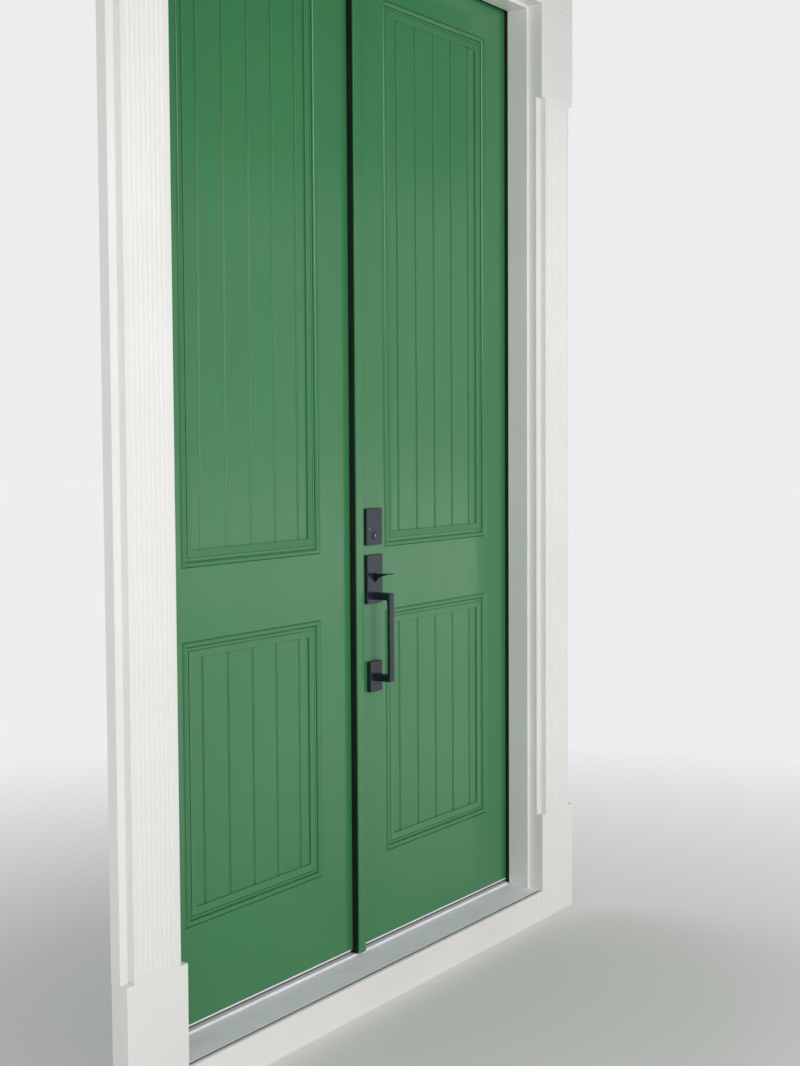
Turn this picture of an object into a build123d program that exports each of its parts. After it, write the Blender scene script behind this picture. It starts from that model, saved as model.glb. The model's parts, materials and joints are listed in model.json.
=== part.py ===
"""Double entry door: two panelled leaves hung in a rebated frame, with fluted pilasters outside.

Millimetres, Z up. The outside of the door faces -Y and Y = 0 is the leaves' outer face. X = 0 is
midway between the leaves, and Z = 0 is the underside of the sill. The right leaf is the active one.
"""
from build123d import *
import os

os.makedirs("parts", exist_ok=True)

# Leaf
leaf_width = 755.0
leaf_height = 2444.0
leaf_thick = 44.5
leaf_foot = 45.0
meeting_gap = 43.0
edge_clear = 3.0
arris = 1.2

# Framing of a leaf
stile_width = 114.0
bottom_rail_width = 214.0
lock_rail_foot = 830.0
lock_rail_width = 157.5
top_rail_width = 103.0
tongue_thick = 12.0
tongue_length = 12.0
wood_fit = 0.2

# Grooved panels and their mouldings
panel_recess = 8.0
board_width = 88.9
groove_count = 5
groove_width = 8.0
groove_depth = 4.0
moulding_width = 38.0
bead_width = 12.0
bead_proud = 1.5
bead_shoulder = 1.0
quirk_width = 1.7
quirk_depth = 5.0
step_width = 6.8
step_low = 1.5
fine_quirk_width = 1.0
fine_quirk_depth = 4.0
slope_head = 2.5
slope_foot = 1.5

# Jambs and head
jamb_thick = 19.0
stop_depth = 60.0
stop_seat = 12.0
stop_cover = 11.5
jamb_inside = 1.5
head_cover = 8.0
head_thick = 19.0

# Sill
sill_rear_height = 32.0
sill_fall = 0.078
sill_front = 101.0
sill_lip_foot = 21.0
porch_drop = 60.0
apron_thick = 25.0
apron_back_set = 2.0
cap_front = 8.0
cap_depth = 48.0
cap_height = 5.0
cap_nose = 1.5

# Pilasters and head board
trim_width = 184.0
trim_reveal = 12.0
back_board_thick = 24.0
block_thick = 42.0
plinth_height = 300.0
top_block_height = 253.0
head_board_height = 184.0
fluted_width = 139.7
fluted_thick = 15.5
flute_count = 8
flute_pitch = 14.1
flute_width = 11.0
flute_depth = 4.0
flute_stop = 12.0
trim_arris = 1.5
jamb_rebate = 1.0
jamb_rebate_clear = 0.5

# Seals
seal_width = 8.5
head_seal_width = 6.5
seal_lap = 1.0
seal_clear = 0.3
sweep_thick = 36.0
sweep_clear = 0.4

# Butt hinges
hinge_count = 4
hinge_height = 101.6
hinge_top_set = 178.0
hinge_foot_set = 279.0
hinge_plate_thick = 2.5
hinge_plate_depth = 36.0
knuckle_radius = 6.5
knuckle_stand = 8.5
pin_radius = 3.0
pin_clear = 0.15
knuckle_clear = 0.2

# Astragal
post_width = 39.5
post_proud = 15.5
post_wall = 3.0
post_plug = 40.0
post_foot_clear = 1.5
post_head_clear = 1.0
cover_thick = 3.5
cover_lip = 5.5
cover_groove_width = 8.0
cover_groove_depth = 2.5
cover_round = 1.2
edge_seal_proud = 1.9
edge_seal_width = 6.0
edge_seal_set = 4.0

# Slide bolts
bolt_radius = 6.0
bolt_throw = 16.0
bolt_length = 320.0
bolt_clear = 0.2
tab_height = 30.0
tab_width = 10.0
tab_clear = 0.4
bolt_strike_width = 30.0
bolt_strike_depth = 26.0
bolt_strike_thick = 2.0
bolt_hole_clear = 1.0

# Lock set
backset = 63.5
latch_height = 911.0
deadbolt_rise = 108.0
cross_bore = 27.0
edge_bore = 12.7
case_radius = 12.5
case_length = 72.0
case_face_height = 57.0
case_face_width = 25.4
case_face_thick = 2.4
slide_clear = 0.15
deadbolt_tall = 19.0
deadbolt_wide = 13.0
deadbolt_long = 44.0
deadbolt_throw = 25.4
latch_tall = 18.0
latch_wide = 12.0
latch_long = 30.0
latch_throw = 12.7
strike_thick = 1.6
strike_height = 70.0
strike_width = 24.0
strike_hole_clear = 1.6

deadbolt_plate_width = 70.0
deadbolt_plate_height = 91.0
deadbolt_plate_thick = 8.0
deadbolt_plate_drop = 23.0
key_radius = 6.6
key_collar_radius = 10.5
key_collar_proud = 1.6
key_proud = 2.4
key_length = 18.0
key_tail_wide = 6.0
key_tail_thick = 2.0
key_tail_length = 12.0
keyway_wide = 1.4
keyway_tall = 8.0

handle_plate_width = 69.0
handle_plate_height = 121.0
handle_plate_thick = 9.0
handle_plate_drop = 60.0
plate_bevel = 1.2
plate_corner = 3.0
lower_plate_width = 53.0
lower_plate_height = 76.0
lower_plate_thick = 11.5
lower_plate_drop = 27.0

grip_reach = 58.0
grip_width = 20.0
grip_bar_thick = 8.0
grip_arm_height = 17.5
grip_drop = 253.0
grip_length = 220.0
grip_inner_round = 4.0
grip_edge_round = 1.2

lever_over_latch = 8.0
lever_width = 22.0
lever_stem_width = 11.0
lever_thick = 3.6
lever_reach = 63.0
lever_rise = 8.0
lever_tail = 8.0
lever_neck = 16.0
lever_hub_radius = 3.2
lever_pin_radius = 1.5
lever_slot_clear = 1.0
lever_slot_height = 13.0
fin_thick = 4.0
fin_drop = 10.0
fin_gap = 2.0
fin_length = 24.0

rose_thick = 8.0
turn_width = 34.0
turn_height = 14.0
turn_depth = 20.0
spindle_square = 5.5
spindle_clear = 0.15
rose_gap = 0.15
knob_radius = 26.0
knob_depth = 30.0
knob_neck_radius = 11.0
knob_neck_length = 26.0
knob_round = 4.0

# Places worked out from the sizes above
leaf_inner = meeting_gap / 2
leaf_outer = leaf_inner + leaf_width
leaf_top = leaf_foot + leaf_height
leaf_mid_y = leaf_thick / 2
tongue_front = leaf_mid_y - tongue_thick / 2
tongue_back = leaf_mid_y + tongue_thick / 2
rabbet_x = leaf_outer + edge_clear
stop_x = leaf_outer - stop_cover
jamb_outer = rabbet_x + jamb_thick
jamb_back = leaf_thick + jamb_inside
seal_end = stop_x + seal_lap + seal_width
frame_front = -(stop_seat + stop_depth)
soffit_z = leaf_top + edge_clear
stop_z = leaf_top - head_cover
head_top = soffit_z + head_thick
trim_inner = stop_x + trim_reveal
trim_outer = trim_inner + trim_width
trim_mid = trim_inner + trim_width / 2
block_front = frame_front - block_thick
board_front = frame_front - back_board_thick
wall_face = frame_front + jamb_rebate
plinth_top = plinth_height - porch_drop
top_block_foot = soffit_z - top_block_height
opening_inner = leaf_inner + stile_width
opening_outer = leaf_outer - stile_width
opening_mid = (opening_inner + opening_outer) / 2
lower_opening = (leaf_foot + bottom_rail_width, leaf_foot + lock_rail_foot)
upper_opening = (leaf_foot + lock_rail_foot + lock_rail_width, leaf_top - top_rail_width)
cap_top = sill_rear_height + cap_height
post_left = -leaf_inner
post_right = post_left + post_width
post_mid = (post_left + post_right) / 2
post_foot = cap_top + post_foot_clear
lock_x = leaf_inner + backset
latch_z = leaf_foot + latch_height
deadbolt_z = latch_z + deadbolt_rise
lever_z = latch_z + lever_over_latch
deadbolt_plate_foot = deadbolt_z - deadbolt_plate_drop
handle_plate_foot = latch_z - handle_plate_drop
grip_low = latch_z - grip_drop
grip_high = grip_low + grip_length
lower_plate_foot = grip_low - lower_plate_drop
lever_pivot_y = -handle_plate_thick / 2
pin_x = leaf_outer + edge_clear / 2
pin_y = leaf_thick + knuckle_stand
hinge_span = leaf_height - hinge_top_set - hinge_foot_set - hinge_height
hinge_feet = [leaf_foot + hinge_foot_set + hinge_span * i / (hinge_count - 1) for i in range(hinge_count)]
knuckle_height = hinge_height / 3
spindle_hole = spindle_square / 2 * 2 ** 0.5 + spindle_clear
flute_radius = (flute_width ** 2 / 4 + flute_depth ** 2) / (2 * flute_depth)
strike_half = bolt_strike_width / 2


def keep(piece, name):
    """Label a finished piece and write it under its own name."""
    piece.part.label = name
    export_step(piece.part, f"parts/{name}.step")


def box_sketch(low, high):
    """A rectangle between two corners of the sketch plane."""
    with Locations(((low[0] + high[0]) / 2, (low[1] + high[1]) / 2)):
        Rectangle(high[0] - low[0], high[1] - low[1])


def block(low, high, mode=Mode.ADD):
    """A square-edged block between two corners, in the part that is being built."""
    with BuildSketch(Plane.XY.offset(low[2]), mode=Mode.PRIVATE) as foot:
        box_sketch(low, high)
    extrude(foot.sketch, amount=high[2] - low[2], mode=mode)


def cylinder_y(x, z, radius, start, end, mode=Mode.ADD):
    """A round bar or bore along Y, in the part that is being built."""
    with BuildSketch(Plane.XZ.offset(-start), mode=Mode.PRIVATE) as disc:
        with Locations((x, z)):
            Circle(radius)
    extrude(disc.sketch, amount=start - end, mode=mode)


def mirror_to(side):
    """Turn the right-hand piece that is being built into the left-hand one."""
    if side < 0:
        mirror(about=Plane.YZ, mode=Mode.REPLACE)


def sill_top(y):
    """Height of the sloping part of the sill."""
    return sill_rear_height + sill_fall * (y + cap_front)


def cut_sill_from(x_low, x_high):
    """Cut a post's foot to the slope of the sill."""
    with BuildSketch(Plane.YZ.offset(x_low), mode=Mode.PRIVATE) as slope:
        with BuildLine():
            Polyline(
                (frame_front - 1, -1),
                (frame_front - 1, sill_top(frame_front - 1)),
                (-cap_front, sill_rear_height),
                (jamb_back + 1, sill_rear_height),
                (jamb_back + 1, -1),
                close=True,
            )
        make_face()
    extrude(slope.sketch, amount=x_high - x_low, mode=Mode.SUBTRACT)


# Frame: jambs, head, sill


def make_jamb(side, name):
    """A rebated side jamb: the thick outer part is the stop, the thin part takes the leaf."""
    with BuildPart() as jamb:
        with BuildSketch(Plane.XY):
            with BuildLine():
                Polyline(
                    (stop_x, frame_front),
                    (jamb_outer - jamb_rebate, frame_front),
                    (jamb_outer, wall_face),
                    (jamb_outer, jamb_back),
                    (rabbet_x, jamb_back),
                    (rabbet_x, -stop_seat),
                    (stop_x, -stop_seat),
                    close=True,
                )
            make_face()
        extrude(amount=soffit_z)
        cut_sill_from(stop_x - 1, jamb_outer + 1)
        for z in hinge_feet:
            block(
                (rabbet_x, jamb_back - hinge_plate_depth, z),
                (rabbet_x + hinge_plate_thick, jamb_back, z + hinge_height),
                Mode.SUBTRACT,
            )
        mirror_to(side)
    keep(jamb, name)


make_jamb(1, "right_jamb")
make_jamb(-1, "left_jamb")

with BuildPart() as head_jamb:
    block((-jamb_outer, frame_front, soffit_z), (jamb_outer, jamb_back, head_top))
    block((-stop_x, frame_front, stop_z), (stop_x, -stop_seat, soffit_z))
    block(
        (post_mid - strike_half, leaf_mid_y - bolt_strike_depth / 2, soffit_z),
        (post_mid + strike_half, leaf_mid_y + bolt_strike_depth / 2, soffit_z + bolt_strike_thick),
        Mode.SUBTRACT,
    )
    with BuildSketch(Plane.XY.offset(soffit_z)) as head_bolt_hole:
        with Locations((post_mid, leaf_mid_y)):
            Circle(bolt_radius + bolt_hole_clear)
    extrude(amount=bolt_throw, mode=Mode.SUBTRACT)
keep(head_jamb, "head_jamb")

with BuildPart() as sill:
    with BuildSketch(Plane.YZ.offset(-jamb_outer)):
        with BuildLine():
            Polyline(
                (-sill_front, sill_lip_foot),
                (-sill_front, sill_top(-sill_front)),
                (-cap_front, sill_rear_height),
                (jamb_back, sill_rear_height),
                (jamb_back, 0),
                (apron_thick + apron_back_set + block_front, 0),
                (apron_thick + apron_back_set + block_front, sill_lip_foot),
                close=True,
            )
        make_face()
    extrude(amount=2 * jamb_outer)
    for end in (-jamb_outer, trim_inner):
        block(
            (end, -sill_front - 1, -1),
            (end + jamb_outer - trim_inner, frame_front, sill_rear_height + 1),
            Mode.SUBTRACT,
        )
    with BuildSketch(Plane.XY.offset(sill_rear_height)):
        with Locations((post_mid, leaf_mid_y)):
            Circle(bolt_radius + bolt_hole_clear)
    extrude(amount=-(bolt_throw - cap_height), mode=Mode.SUBTRACT)
keep(sill, "sill")

with BuildPart() as threshold_cap:
    with BuildSketch(Plane.YZ.offset(-rabbet_x)):
        with BuildLine():
            Polyline(
                (-cap_front, sill_rear_height),
                (-cap_front, cap_top - cap_nose),
                (cap_nose - cap_front, cap_top),
                (cap_depth - cap_front - cap_nose, cap_top),
                (cap_depth - cap_front, cap_top - cap_nose),
                (cap_depth - cap_front, sill_rear_height),
                close=True,
            )
        make_face()
    extrude(amount=2 * rabbet_x)
    block(
        (post_mid - strike_half, leaf_mid_y - bolt_strike_depth / 2, cap_top - bolt_strike_thick),
        (post_mid + strike_half, leaf_mid_y + bolt_strike_depth / 2, cap_top),
        Mode.SUBTRACT,
    )
    with BuildSketch(Plane.XY.offset(cap_top)):
        with Locations((post_mid, leaf_mid_y)):
            Circle(bolt_radius + bolt_hole_clear)
    extrude(amount=-cap_height, mode=Mode.SUBTRACT)
keep(threshold_cap, "threshold_cap")

with BuildPart() as sill_apron:
    block(
        (-trim_inner, block_front + apron_back_set, -porch_drop),
        (trim_inner, block_front + apron_back_set + apron_thick, sill_lip_foot),
    )
    chamfer(sill_apron.edges().group_by(Axis.Z)[-1].sort_by(Axis.Y)[0], trim_arris)
keep(sill_apron, "sill_apron")


def strike_plate(z):
    """A flush plate with a round hole for a slide bolt."""
    with BuildSketch(Plane.XY.offset(z)) as plate:
        with Locations((post_mid, leaf_mid_y)):
            Rectangle(bolt_strike_width - 2 * wood_fit, bolt_strike_depth - 2 * wood_fit)
            Circle(bolt_radius + bolt_hole_clear, mode=Mode.SUBTRACT)
    extrude(plate.sketch, amount=bolt_strike_thick)


with BuildPart() as bolt_strikes:
    strike_plate(soffit_z)
    strike_plate(cap_top - bolt_strike_thick)
keep(bolt_strikes, "bolt_strikes")


# Pilasters and head board


def make_trim_block(side, name, foot, height):
    """A plain square block at the foot or head of a pilaster."""
    with BuildPart() as trim:
        block((trim_inner, block_front, foot), (trim_outer, frame_front, foot + height))
        front = trim.faces().sort_by(Axis.Y)[0]
        chamfer(front.edges(), trim_arris)
        mirror_to(side)
    keep(trim, name)


def make_back_board(side, name):
    """The flat board behind a fluted board, rebated where it laps the jamb so that it seats on the wall."""
    with BuildPart() as board:
        block((trim_inner, board_front, plinth_top), (trim_outer, wall_face, top_block_foot))
        block(
            (trim_inner, frame_front, plinth_top),
            (jamb_outer + jamb_rebate_clear, wall_face, top_block_foot),
            Mode.SUBTRACT,
        )
        chamfer(board.edges().filter_by(Axis.Z).group_by(Axis.Y)[0], trim_arris)
        mirror_to(side)
    keep(board, name)


def make_fluted_board(side, name):
    """A board with round-bottomed flutes that stop short of both ends."""
    flute_y = board_front - fluted_thick + flute_depth - flute_radius
    flute_low = plinth_top + flute_stop
    flute_high = top_block_foot - flute_stop
    with BuildPart() as board:
        block(
            (trim_mid - fluted_width / 2, board_front - fluted_thick, plinth_top),
            (trim_mid + fluted_width / 2, board_front, top_block_foot),
        )
        with BuildSketch(Plane.XY.offset(flute_low)):
            with Locations((trim_mid, flute_y)):
                with GridLocations(flute_pitch, 1, flute_count, 1):
                    Circle(flute_radius)
        extrude(amount=flute_high - flute_low, mode=Mode.SUBTRACT)
        mirror_to(side)
    keep(board, name)


for side, hand in ((1, "right"), (-1, "left")):
    make_trim_block(side, f"{hand}_plinth_block", -porch_drop, plinth_height)
    make_trim_block(side, f"{hand}_top_block", top_block_foot, top_block_height)
    make_back_board(side, f"{hand}_back_board")
    make_fluted_board(side, f"{hand}_fluted_board")

with BuildPart() as head_board:
    block((-trim_outer, block_front, soffit_z), (trim_outer, frame_front, soffit_z + head_board_height))
    chamfer(head_board.faces().sort_by(Axis.Y)[0].edges(), trim_arris)
keep(head_board, "head_board")


# Seals on the stops


def side_seal(side):
    """A round-nosed seal between the stop and the face of a closed leaf."""
    nose_y = -seal_clear - seal_width / 2
    inner = side * (stop_x + seal_lap)
    outer = side * seal_end
    with BuildSketch(Plane.XY.offset(cap_top)) as section:
        with BuildLine():
            Polyline((inner, nose_y), (inner, -stop_seat), (outer, -stop_seat), (outer, nose_y))
            ThreePointArc((outer, nose_y), ((inner + outer) / 2, -seal_clear), (inner, nose_y))
        make_face()
    extrude(section.sketch, amount=stop_z + seal_lap - cap_top)


with BuildPart() as frame_seals:
    side_seal(1)
    side_seal(-1)
    head_low = stop_z + seal_lap
    head_nose = -seal_clear - head_seal_width / 2
    with BuildSketch(Plane.YZ.offset(-seal_end)):
        with BuildLine():
            Polyline(
                (head_nose, head_low),
                (-stop_seat, head_low),
                (-stop_seat, head_low + head_seal_width),
                (head_nose, head_low + head_seal_width),
            )
            ThreePointArc(
                (head_nose, head_low + head_seal_width),
                (-seal_clear, head_low + head_seal_width / 2),
                (head_nose, head_low),
            )
        make_face()
    extrude(amount=2 * seal_end)
keep(frame_seals, "frame_seals")


# Hinges


def round_bar(radius, z_low, z_high, mode=Mode.ADD):
    """A round bar or bore on a hinge's axis, in the part that is being built."""
    with BuildSketch(Plane.XY.offset(z_low), mode=Mode.PRIVATE) as disc:
        with Locations((pin_x, pin_y)):
            Circle(radius)
    extrude(disc.sketch, amount=z_high - z_low, mode=mode)


def knuckle(x_low, x_high, plate_back, z_low, z_high):
    """A knuckle with the strap that joins it to its plate."""
    block((x_low, plate_back, z_low), (x_high, pin_y, z_high))
    round_bar(knuckle_radius, z_low, z_high)


def frame_hinge(foot):
    """The plate in the jamb, with the top and bottom knuckles and the pin that is driven into them."""
    x_low = rabbet_x
    x_high = rabbet_x + hinge_plate_thick
    block((x_low, jamb_back - hinge_plate_depth, foot), (x_high, jamb_back, foot + hinge_height))
    lower_end = foot + knuckle_height - knuckle_clear / 2
    upper_start = foot + 2 * knuckle_height + knuckle_clear / 2
    knuckle(x_low, x_high, jamb_back, foot, lower_end)
    knuckle(x_low, x_high, jamb_back, upper_start, foot + hinge_height)
    round_bar(pin_radius, lower_end, upper_start)


def leaf_hinge(foot):
    """The plate in the leaf's edge, with the middle knuckle, bored for the pin."""
    x_low = leaf_outer - hinge_plate_thick
    block((x_low, jamb_back - hinge_plate_depth, foot), (leaf_outer, leaf_thick, foot + hinge_height))
    middle_start = foot + knuckle_height + knuckle_clear / 2
    middle_end = foot + 2 * knuckle_height - knuckle_clear / 2
    knuckle(x_low, leaf_outer, leaf_thick, middle_start, middle_end)
    round_bar(pin_radius + pin_clear, middle_start, middle_end, Mode.SUBTRACT)


with BuildPart() as hinge_frame_plates:
    for foot in hinge_feet:
        frame_hinge(foot)
    mirror(about=Plane.YZ)
keep(hinge_frame_plates, "hinge_frame_plates")


# Leaves


def make_stile(side, name, x_low, x_high, groove_side, bored):
    """A full-height stile with a groove along its panel edge."""
    groove_x = x_high - tongue_length if groove_side > 0 else x_low
    with BuildPart() as stile:
        block((x_low, 0, leaf_foot), (x_high, leaf_thick, leaf_top))
        outer_edges = stile.edges().filter_by(Axis.Z).sort_by(Axis.X)
        chamfer(outer_edges[0:2] if groove_side > 0 else outer_edges[2:4], arris)
        block(
            (groove_x, tongue_front, leaf_foot),
            (groove_x + tongue_length, tongue_back, leaf_top),
            Mode.SUBTRACT,
        )
        if bored:
            for z in (latch_z, deadbolt_z):
                cylinder_y(lock_x, z, cross_bore, 0, leaf_thick, Mode.SUBTRACT)
                with BuildSketch(Plane.YZ.offset(x_low)):
                    with Locations((leaf_mid_y, z)):
                        Circle(edge_bore)
                extrude(amount=backset, mode=Mode.SUBTRACT)
                face_half = case_face_height / 2 + wood_fit
                block(
                    (x_low, leaf_mid_y - case_face_width / 2 - wood_fit, z - face_half),
                    (x_low + case_face_thick, leaf_mid_y + case_face_width / 2 + wood_fit, z + face_half),
                    Mode.SUBTRACT,
                )
        if groove_side < 0:
            for z in hinge_feet:
                block(
                    (x_high - hinge_plate_thick, jamb_back - hinge_plate_depth, z),
                    (x_high, leaf_thick, z + hinge_height),
                    Mode.SUBTRACT,
                )
        mirror_to(side)
    keep(stile, name)


def make_rail(side, name, z_low, z_high, groove_top, groove_foot):
    """A rail between the stiles, with a tongue at each end and a groove where a panel meets it."""
    with BuildPart() as rail:
        block((opening_inner, 0, z_low), (opening_outer, leaf_thick, z_high))
        block(
            (opening_inner - tongue_length + wood_fit, tongue_front, z_low),
            (opening_outer + tongue_length - wood_fit, tongue_back, z_high),
        )
        for wanted, z in ((groove_foot, z_low), (groove_top, z_high - tongue_length)):
            if wanted:
                block(
                    (opening_inner - tongue_length, tongue_front, z),
                    (opening_outer + tongue_length, tongue_back, z + tongue_length),
                    Mode.SUBTRACT,
                )
        mirror_to(side)
    keep(rail, name)


def make_panel(side, name, opening):
    """A panel with V grooves on both faces and a tongue all round."""
    low = opening[0] + wood_fit
    high = opening[1] - wood_fit
    inset = tongue_length - 2 * wood_fit
    with BuildPart() as panel:
        block(
            (opening_inner + wood_fit, panel_recess, low),
            (opening_outer - wood_fit, leaf_thick - panel_recess, high),
        )
        block(
            (opening_inner - inset, tongue_front, low - inset),
            (opening_outer + inset, tongue_back, high + inset),
        )
        with BuildSketch(Plane.XY.offset(low)):
            for face_y, into in ((panel_recess, 1), (leaf_thick - panel_recess, -1)):
                for i in range(groove_count):
                    x = opening_mid + (i - (groove_count - 1) / 2) * board_width
                    with BuildLine():
                        Polyline(
                            (x - groove_width / 2, face_y),
                            (x, face_y + into * groove_depth),
                            (x + groove_width / 2, face_y),
                            close=True,
                        )
                    make_face()
        extrude(amount=high - low, mode=Mode.SUBTRACT)
        mirror_to(side)
    keep(panel, name)


def moulding_frame(opening, face_y, out):
    """One mitred moulding round an opening: bead, quirk, step, fine quirk and a slope to the panel."""
    seat = face_y - out * panel_recess
    edge = opening[0] + wood_fit
    bead_end = edge + bead_width
    step_start = bead_end + quirk_width
    step_end = step_start + step_width
    slope_start = step_end + fine_quirk_width
    slope_end = opening[0] + moulding_width
    shoulder = face_y - out * bead_shoulder
    with BuildSketch(Plane.YZ.offset(opening_mid)) as section:
        with BuildLine():
            Line((seat, edge), (shoulder, edge))
            ThreePointArc(
                (shoulder, edge),
                (face_y + out * bead_proud, edge + bead_width / 2),
                (shoulder, bead_end),
            )
            Polyline(
                (shoulder, bead_end),
                (face_y - out * quirk_depth, bead_end),
                (face_y - out * quirk_depth, step_start),
                (face_y - out * step_low, step_start),
                (face_y - out * step_low, step_end),
                (face_y - out * fine_quirk_depth, step_end),
                (face_y - out * fine_quirk_depth, slope_start),
                (face_y - out * slope_head, slope_start),
                (seat + out * slope_foot, slope_end),
                (seat, slope_end),
                (seat, edge),
            )
        make_face()
    near = opening_inner + wood_fit
    far = opening_outer - wood_fit
    top = opening[1] - wood_fit
    with BuildLine() as path:
        Polyline(
            (opening_mid, seat, edge),
            (far, seat, edge),
            (far, seat, top),
            (near, seat, top),
            (near, seat, edge),
            (opening_mid, seat, edge),
        )
    sweep(section.sketch, path=path.line, transition=Transition.RIGHT)


def make_mouldings(side, name, opening):
    """The outside and inside mouldings of one panel."""
    with BuildPart() as mouldings:
        moulding_frame(opening, 0, -1)
        moulding_frame(opening, leaf_thick, 1)
        mirror_to(side)
    keep(mouldings, name)


def make_sweep(side, name):
    """The flexible strip under a leaf, just clear of the threshold."""
    low_y = (leaf_thick - sweep_thick) / 2
    with BuildPart() as strip:
        with BuildSketch(Plane.YZ.offset(leaf_inner + arris)):
            with BuildLine():
                Polyline(
                    (low_y, leaf_foot),
                    (low_y + 2, cap_top + sweep_clear),
                    (low_y + 6, cap_top + sweep_clear),
                    (low_y + 8, leaf_foot - 2),
                    (low_y + sweep_thick - 8, leaf_foot - 2),
                    (low_y + sweep_thick - 6, cap_top + sweep_clear),
                    (low_y + sweep_thick - 2, cap_top + sweep_clear),
                    (low_y + sweep_thick, leaf_foot),
                    close=True,
                )
            make_face()
        extrude(amount=leaf_width - 2 * arris)
        mirror_to(side)
    keep(strip, name)


def make_leaf_hinges(side, name):
    """The hinge plates let into a leaf's edge."""
    with BuildPart() as plates:
        for foot in hinge_feet:
            leaf_hinge(foot)
        mirror_to(side)
    keep(plates, name)


for side, hand in ((1, "right"), (-1, "left")):
    make_stile(side, f"{hand}_meeting_stile", leaf_inner, opening_inner, 1, side > 0)
    make_stile(side, f"{hand}_hinge_stile", opening_outer, leaf_outer, -1, False)
    make_rail(side, f"{hand}_bottom_rail", leaf_foot, lower_opening[0], True, False)
    make_rail(side, f"{hand}_lock_rail", lower_opening[1], upper_opening[0], True, True)
    make_rail(side, f"{hand}_top_rail", upper_opening[1], leaf_top, False, True)
    make_panel(side, f"{hand}_upper_panel", upper_opening)
    make_panel(side, f"{hand}_lower_panel", lower_opening)
    make_mouldings(side, f"{hand}_upper_mouldings", upper_opening)
    make_mouldings(side, f"{hand}_lower_mouldings", lower_opening)
    make_sweep(side, f"{hand}_door_sweep")
    make_leaf_hinges(side, f"{hand}_hinge_plates")


# Astragal, carried by the left leaf

tab_top_low = leaf_top - post_plug - bolt_throw - tab_height - 60
tab_foot_low = post_foot + post_plug + bolt_throw + 60
with BuildPart() as astragal_post:
    block((post_left, 0, post_foot), (post_right, leaf_thick, leaf_top))
    block((post_left, -post_proud, post_foot), (post_right, 0, stop_z - post_head_clear))
    block(
        (post_left + post_wall, -post_proud + post_wall, post_foot + post_plug),
        (post_right - post_wall, leaf_thick - post_wall, leaf_top - post_plug),
        Mode.SUBTRACT,
    )
    with BuildSketch(Plane.XY.offset(post_foot)):
        with Locations((post_mid, leaf_mid_y)):
            Circle(bolt_radius + bolt_clear)
    extrude(amount=leaf_top - post_foot, mode=Mode.SUBTRACT)
    for z_low in (tab_top_low, tab_foot_low - bolt_throw):
        block(
            (post_mid, leaf_mid_y - tab_width / 2 - tab_clear, z_low - tab_clear),
            (post_right, leaf_mid_y + tab_width / 2 + tab_clear, z_low + tab_height + bolt_throw + tab_clear),
            Mode.SUBTRACT,
        )
    for z, tall, wide in ((latch_z, latch_tall, latch_wide), (deadbolt_z, deadbolt_tall, deadbolt_wide)):
        hole_tall = tall / 2 + strike_hole_clear
        hole_wide = wide / 2 + strike_hole_clear
        block(
            (post_mid, leaf_mid_y - hole_wide, z - hole_tall),
            (post_right, leaf_mid_y + hole_wide, z + hole_tall),
            Mode.SUBTRACT,
        )
        block(
            (post_right - strike_thick, leaf_mid_y - strike_width / 2, z - strike_height / 2),
            (post_right, leaf_mid_y + strike_width / 2, z + strike_height / 2),
            Mode.SUBTRACT,
        )
keep(astragal_post, "astragal_post")

with BuildPart() as astragal_cover:
    with BuildSketch(Plane.XY.offset(post_foot)):
        box_sketch((post_left, -post_proud - cover_thick), (post_right, -post_proud))
    extrude(amount=stop_z - post_head_clear - post_foot)
    groove_start = post_left + cover_lip
    block(
        (groove_start, -post_proud - cover_thick, post_foot),
        (groove_start + cover_groove_width, cover_groove_depth - post_proud - cover_thick, stop_z),
        Mode.SUBTRACT,
    )
    fillet(astragal_cover.edges().filter_by(Axis.Z).group_by(Axis.Y)[0], cover_round)
keep(astragal_cover, "astragal_cover")

with BuildPart() as astragal_seal:
    seal_tip = post_right + edge_seal_proud
    with BuildSketch(Plane.XY.offset(post_foot)):
        with BuildLine():
            Polyline((post_right, edge_seal_set + edge_seal_width), (post_right, edge_seal_set))
            ThreePointArc(
                (post_right, edge_seal_set),
                (seal_tip, edge_seal_set + edge_seal_width / 2),
                (post_right, edge_seal_set + edge_seal_width),
            )
        make_face()
    extrude(amount=leaf_top - post_foot)
keep(astragal_seal, "astragal_seal")

with BuildPart() as lock_strikes:
    for z, tall, wide in ((latch_z, latch_tall, latch_wide), (deadbolt_z, deadbolt_tall, deadbolt_wide)):
        with BuildSketch(Plane.YZ.offset(post_right - strike_thick)):
            with Locations((leaf_mid_y, z)):
                Rectangle(strike_width - wood_fit, strike_height - wood_fit)
                Rectangle(
                    wide + 2 * strike_hole_clear,
                    tall + 2 * strike_hole_clear,
                    mode=Mode.SUBTRACT,
                )
        extrude(amount=strike_thick)
keep(lock_strikes, "lock_strikes")


def make_slide_bolt(name, z_low, tab_low):
    """A round slide bolt with a finger tab that reaches the edge of the post."""
    with BuildPart() as bolt:
        with BuildSketch(Plane.XY.offset(z_low)):
            with Locations((post_mid, leaf_mid_y)):
                Circle(bolt_radius)
        extrude(amount=bolt_length)
        block(
            (post_mid, leaf_mid_y - tab_width / 2, tab_low),
            (post_right - tab_clear, leaf_mid_y + tab_width / 2, tab_low + tab_height),
        )
    keep(bolt, name)


make_slide_bolt("top_slide_bolt", leaf_top - bolt_length, tab_top_low)
make_slide_bolt("bottom_slide_bolt", post_foot, tab_foot_low)


# Lock set on the right leaf


def outside_plate(width, height, thick, foot):
    """A flat plate on the outer face, with small round corners."""
    with BuildSketch(Plane.XZ, mode=Mode.PRIVATE) as outline:
        with Locations((lock_x, foot + height / 2)):
            RectangleRounded(width, height, plate_corner)
    extrude(outline.sketch, amount=thick)


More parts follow.
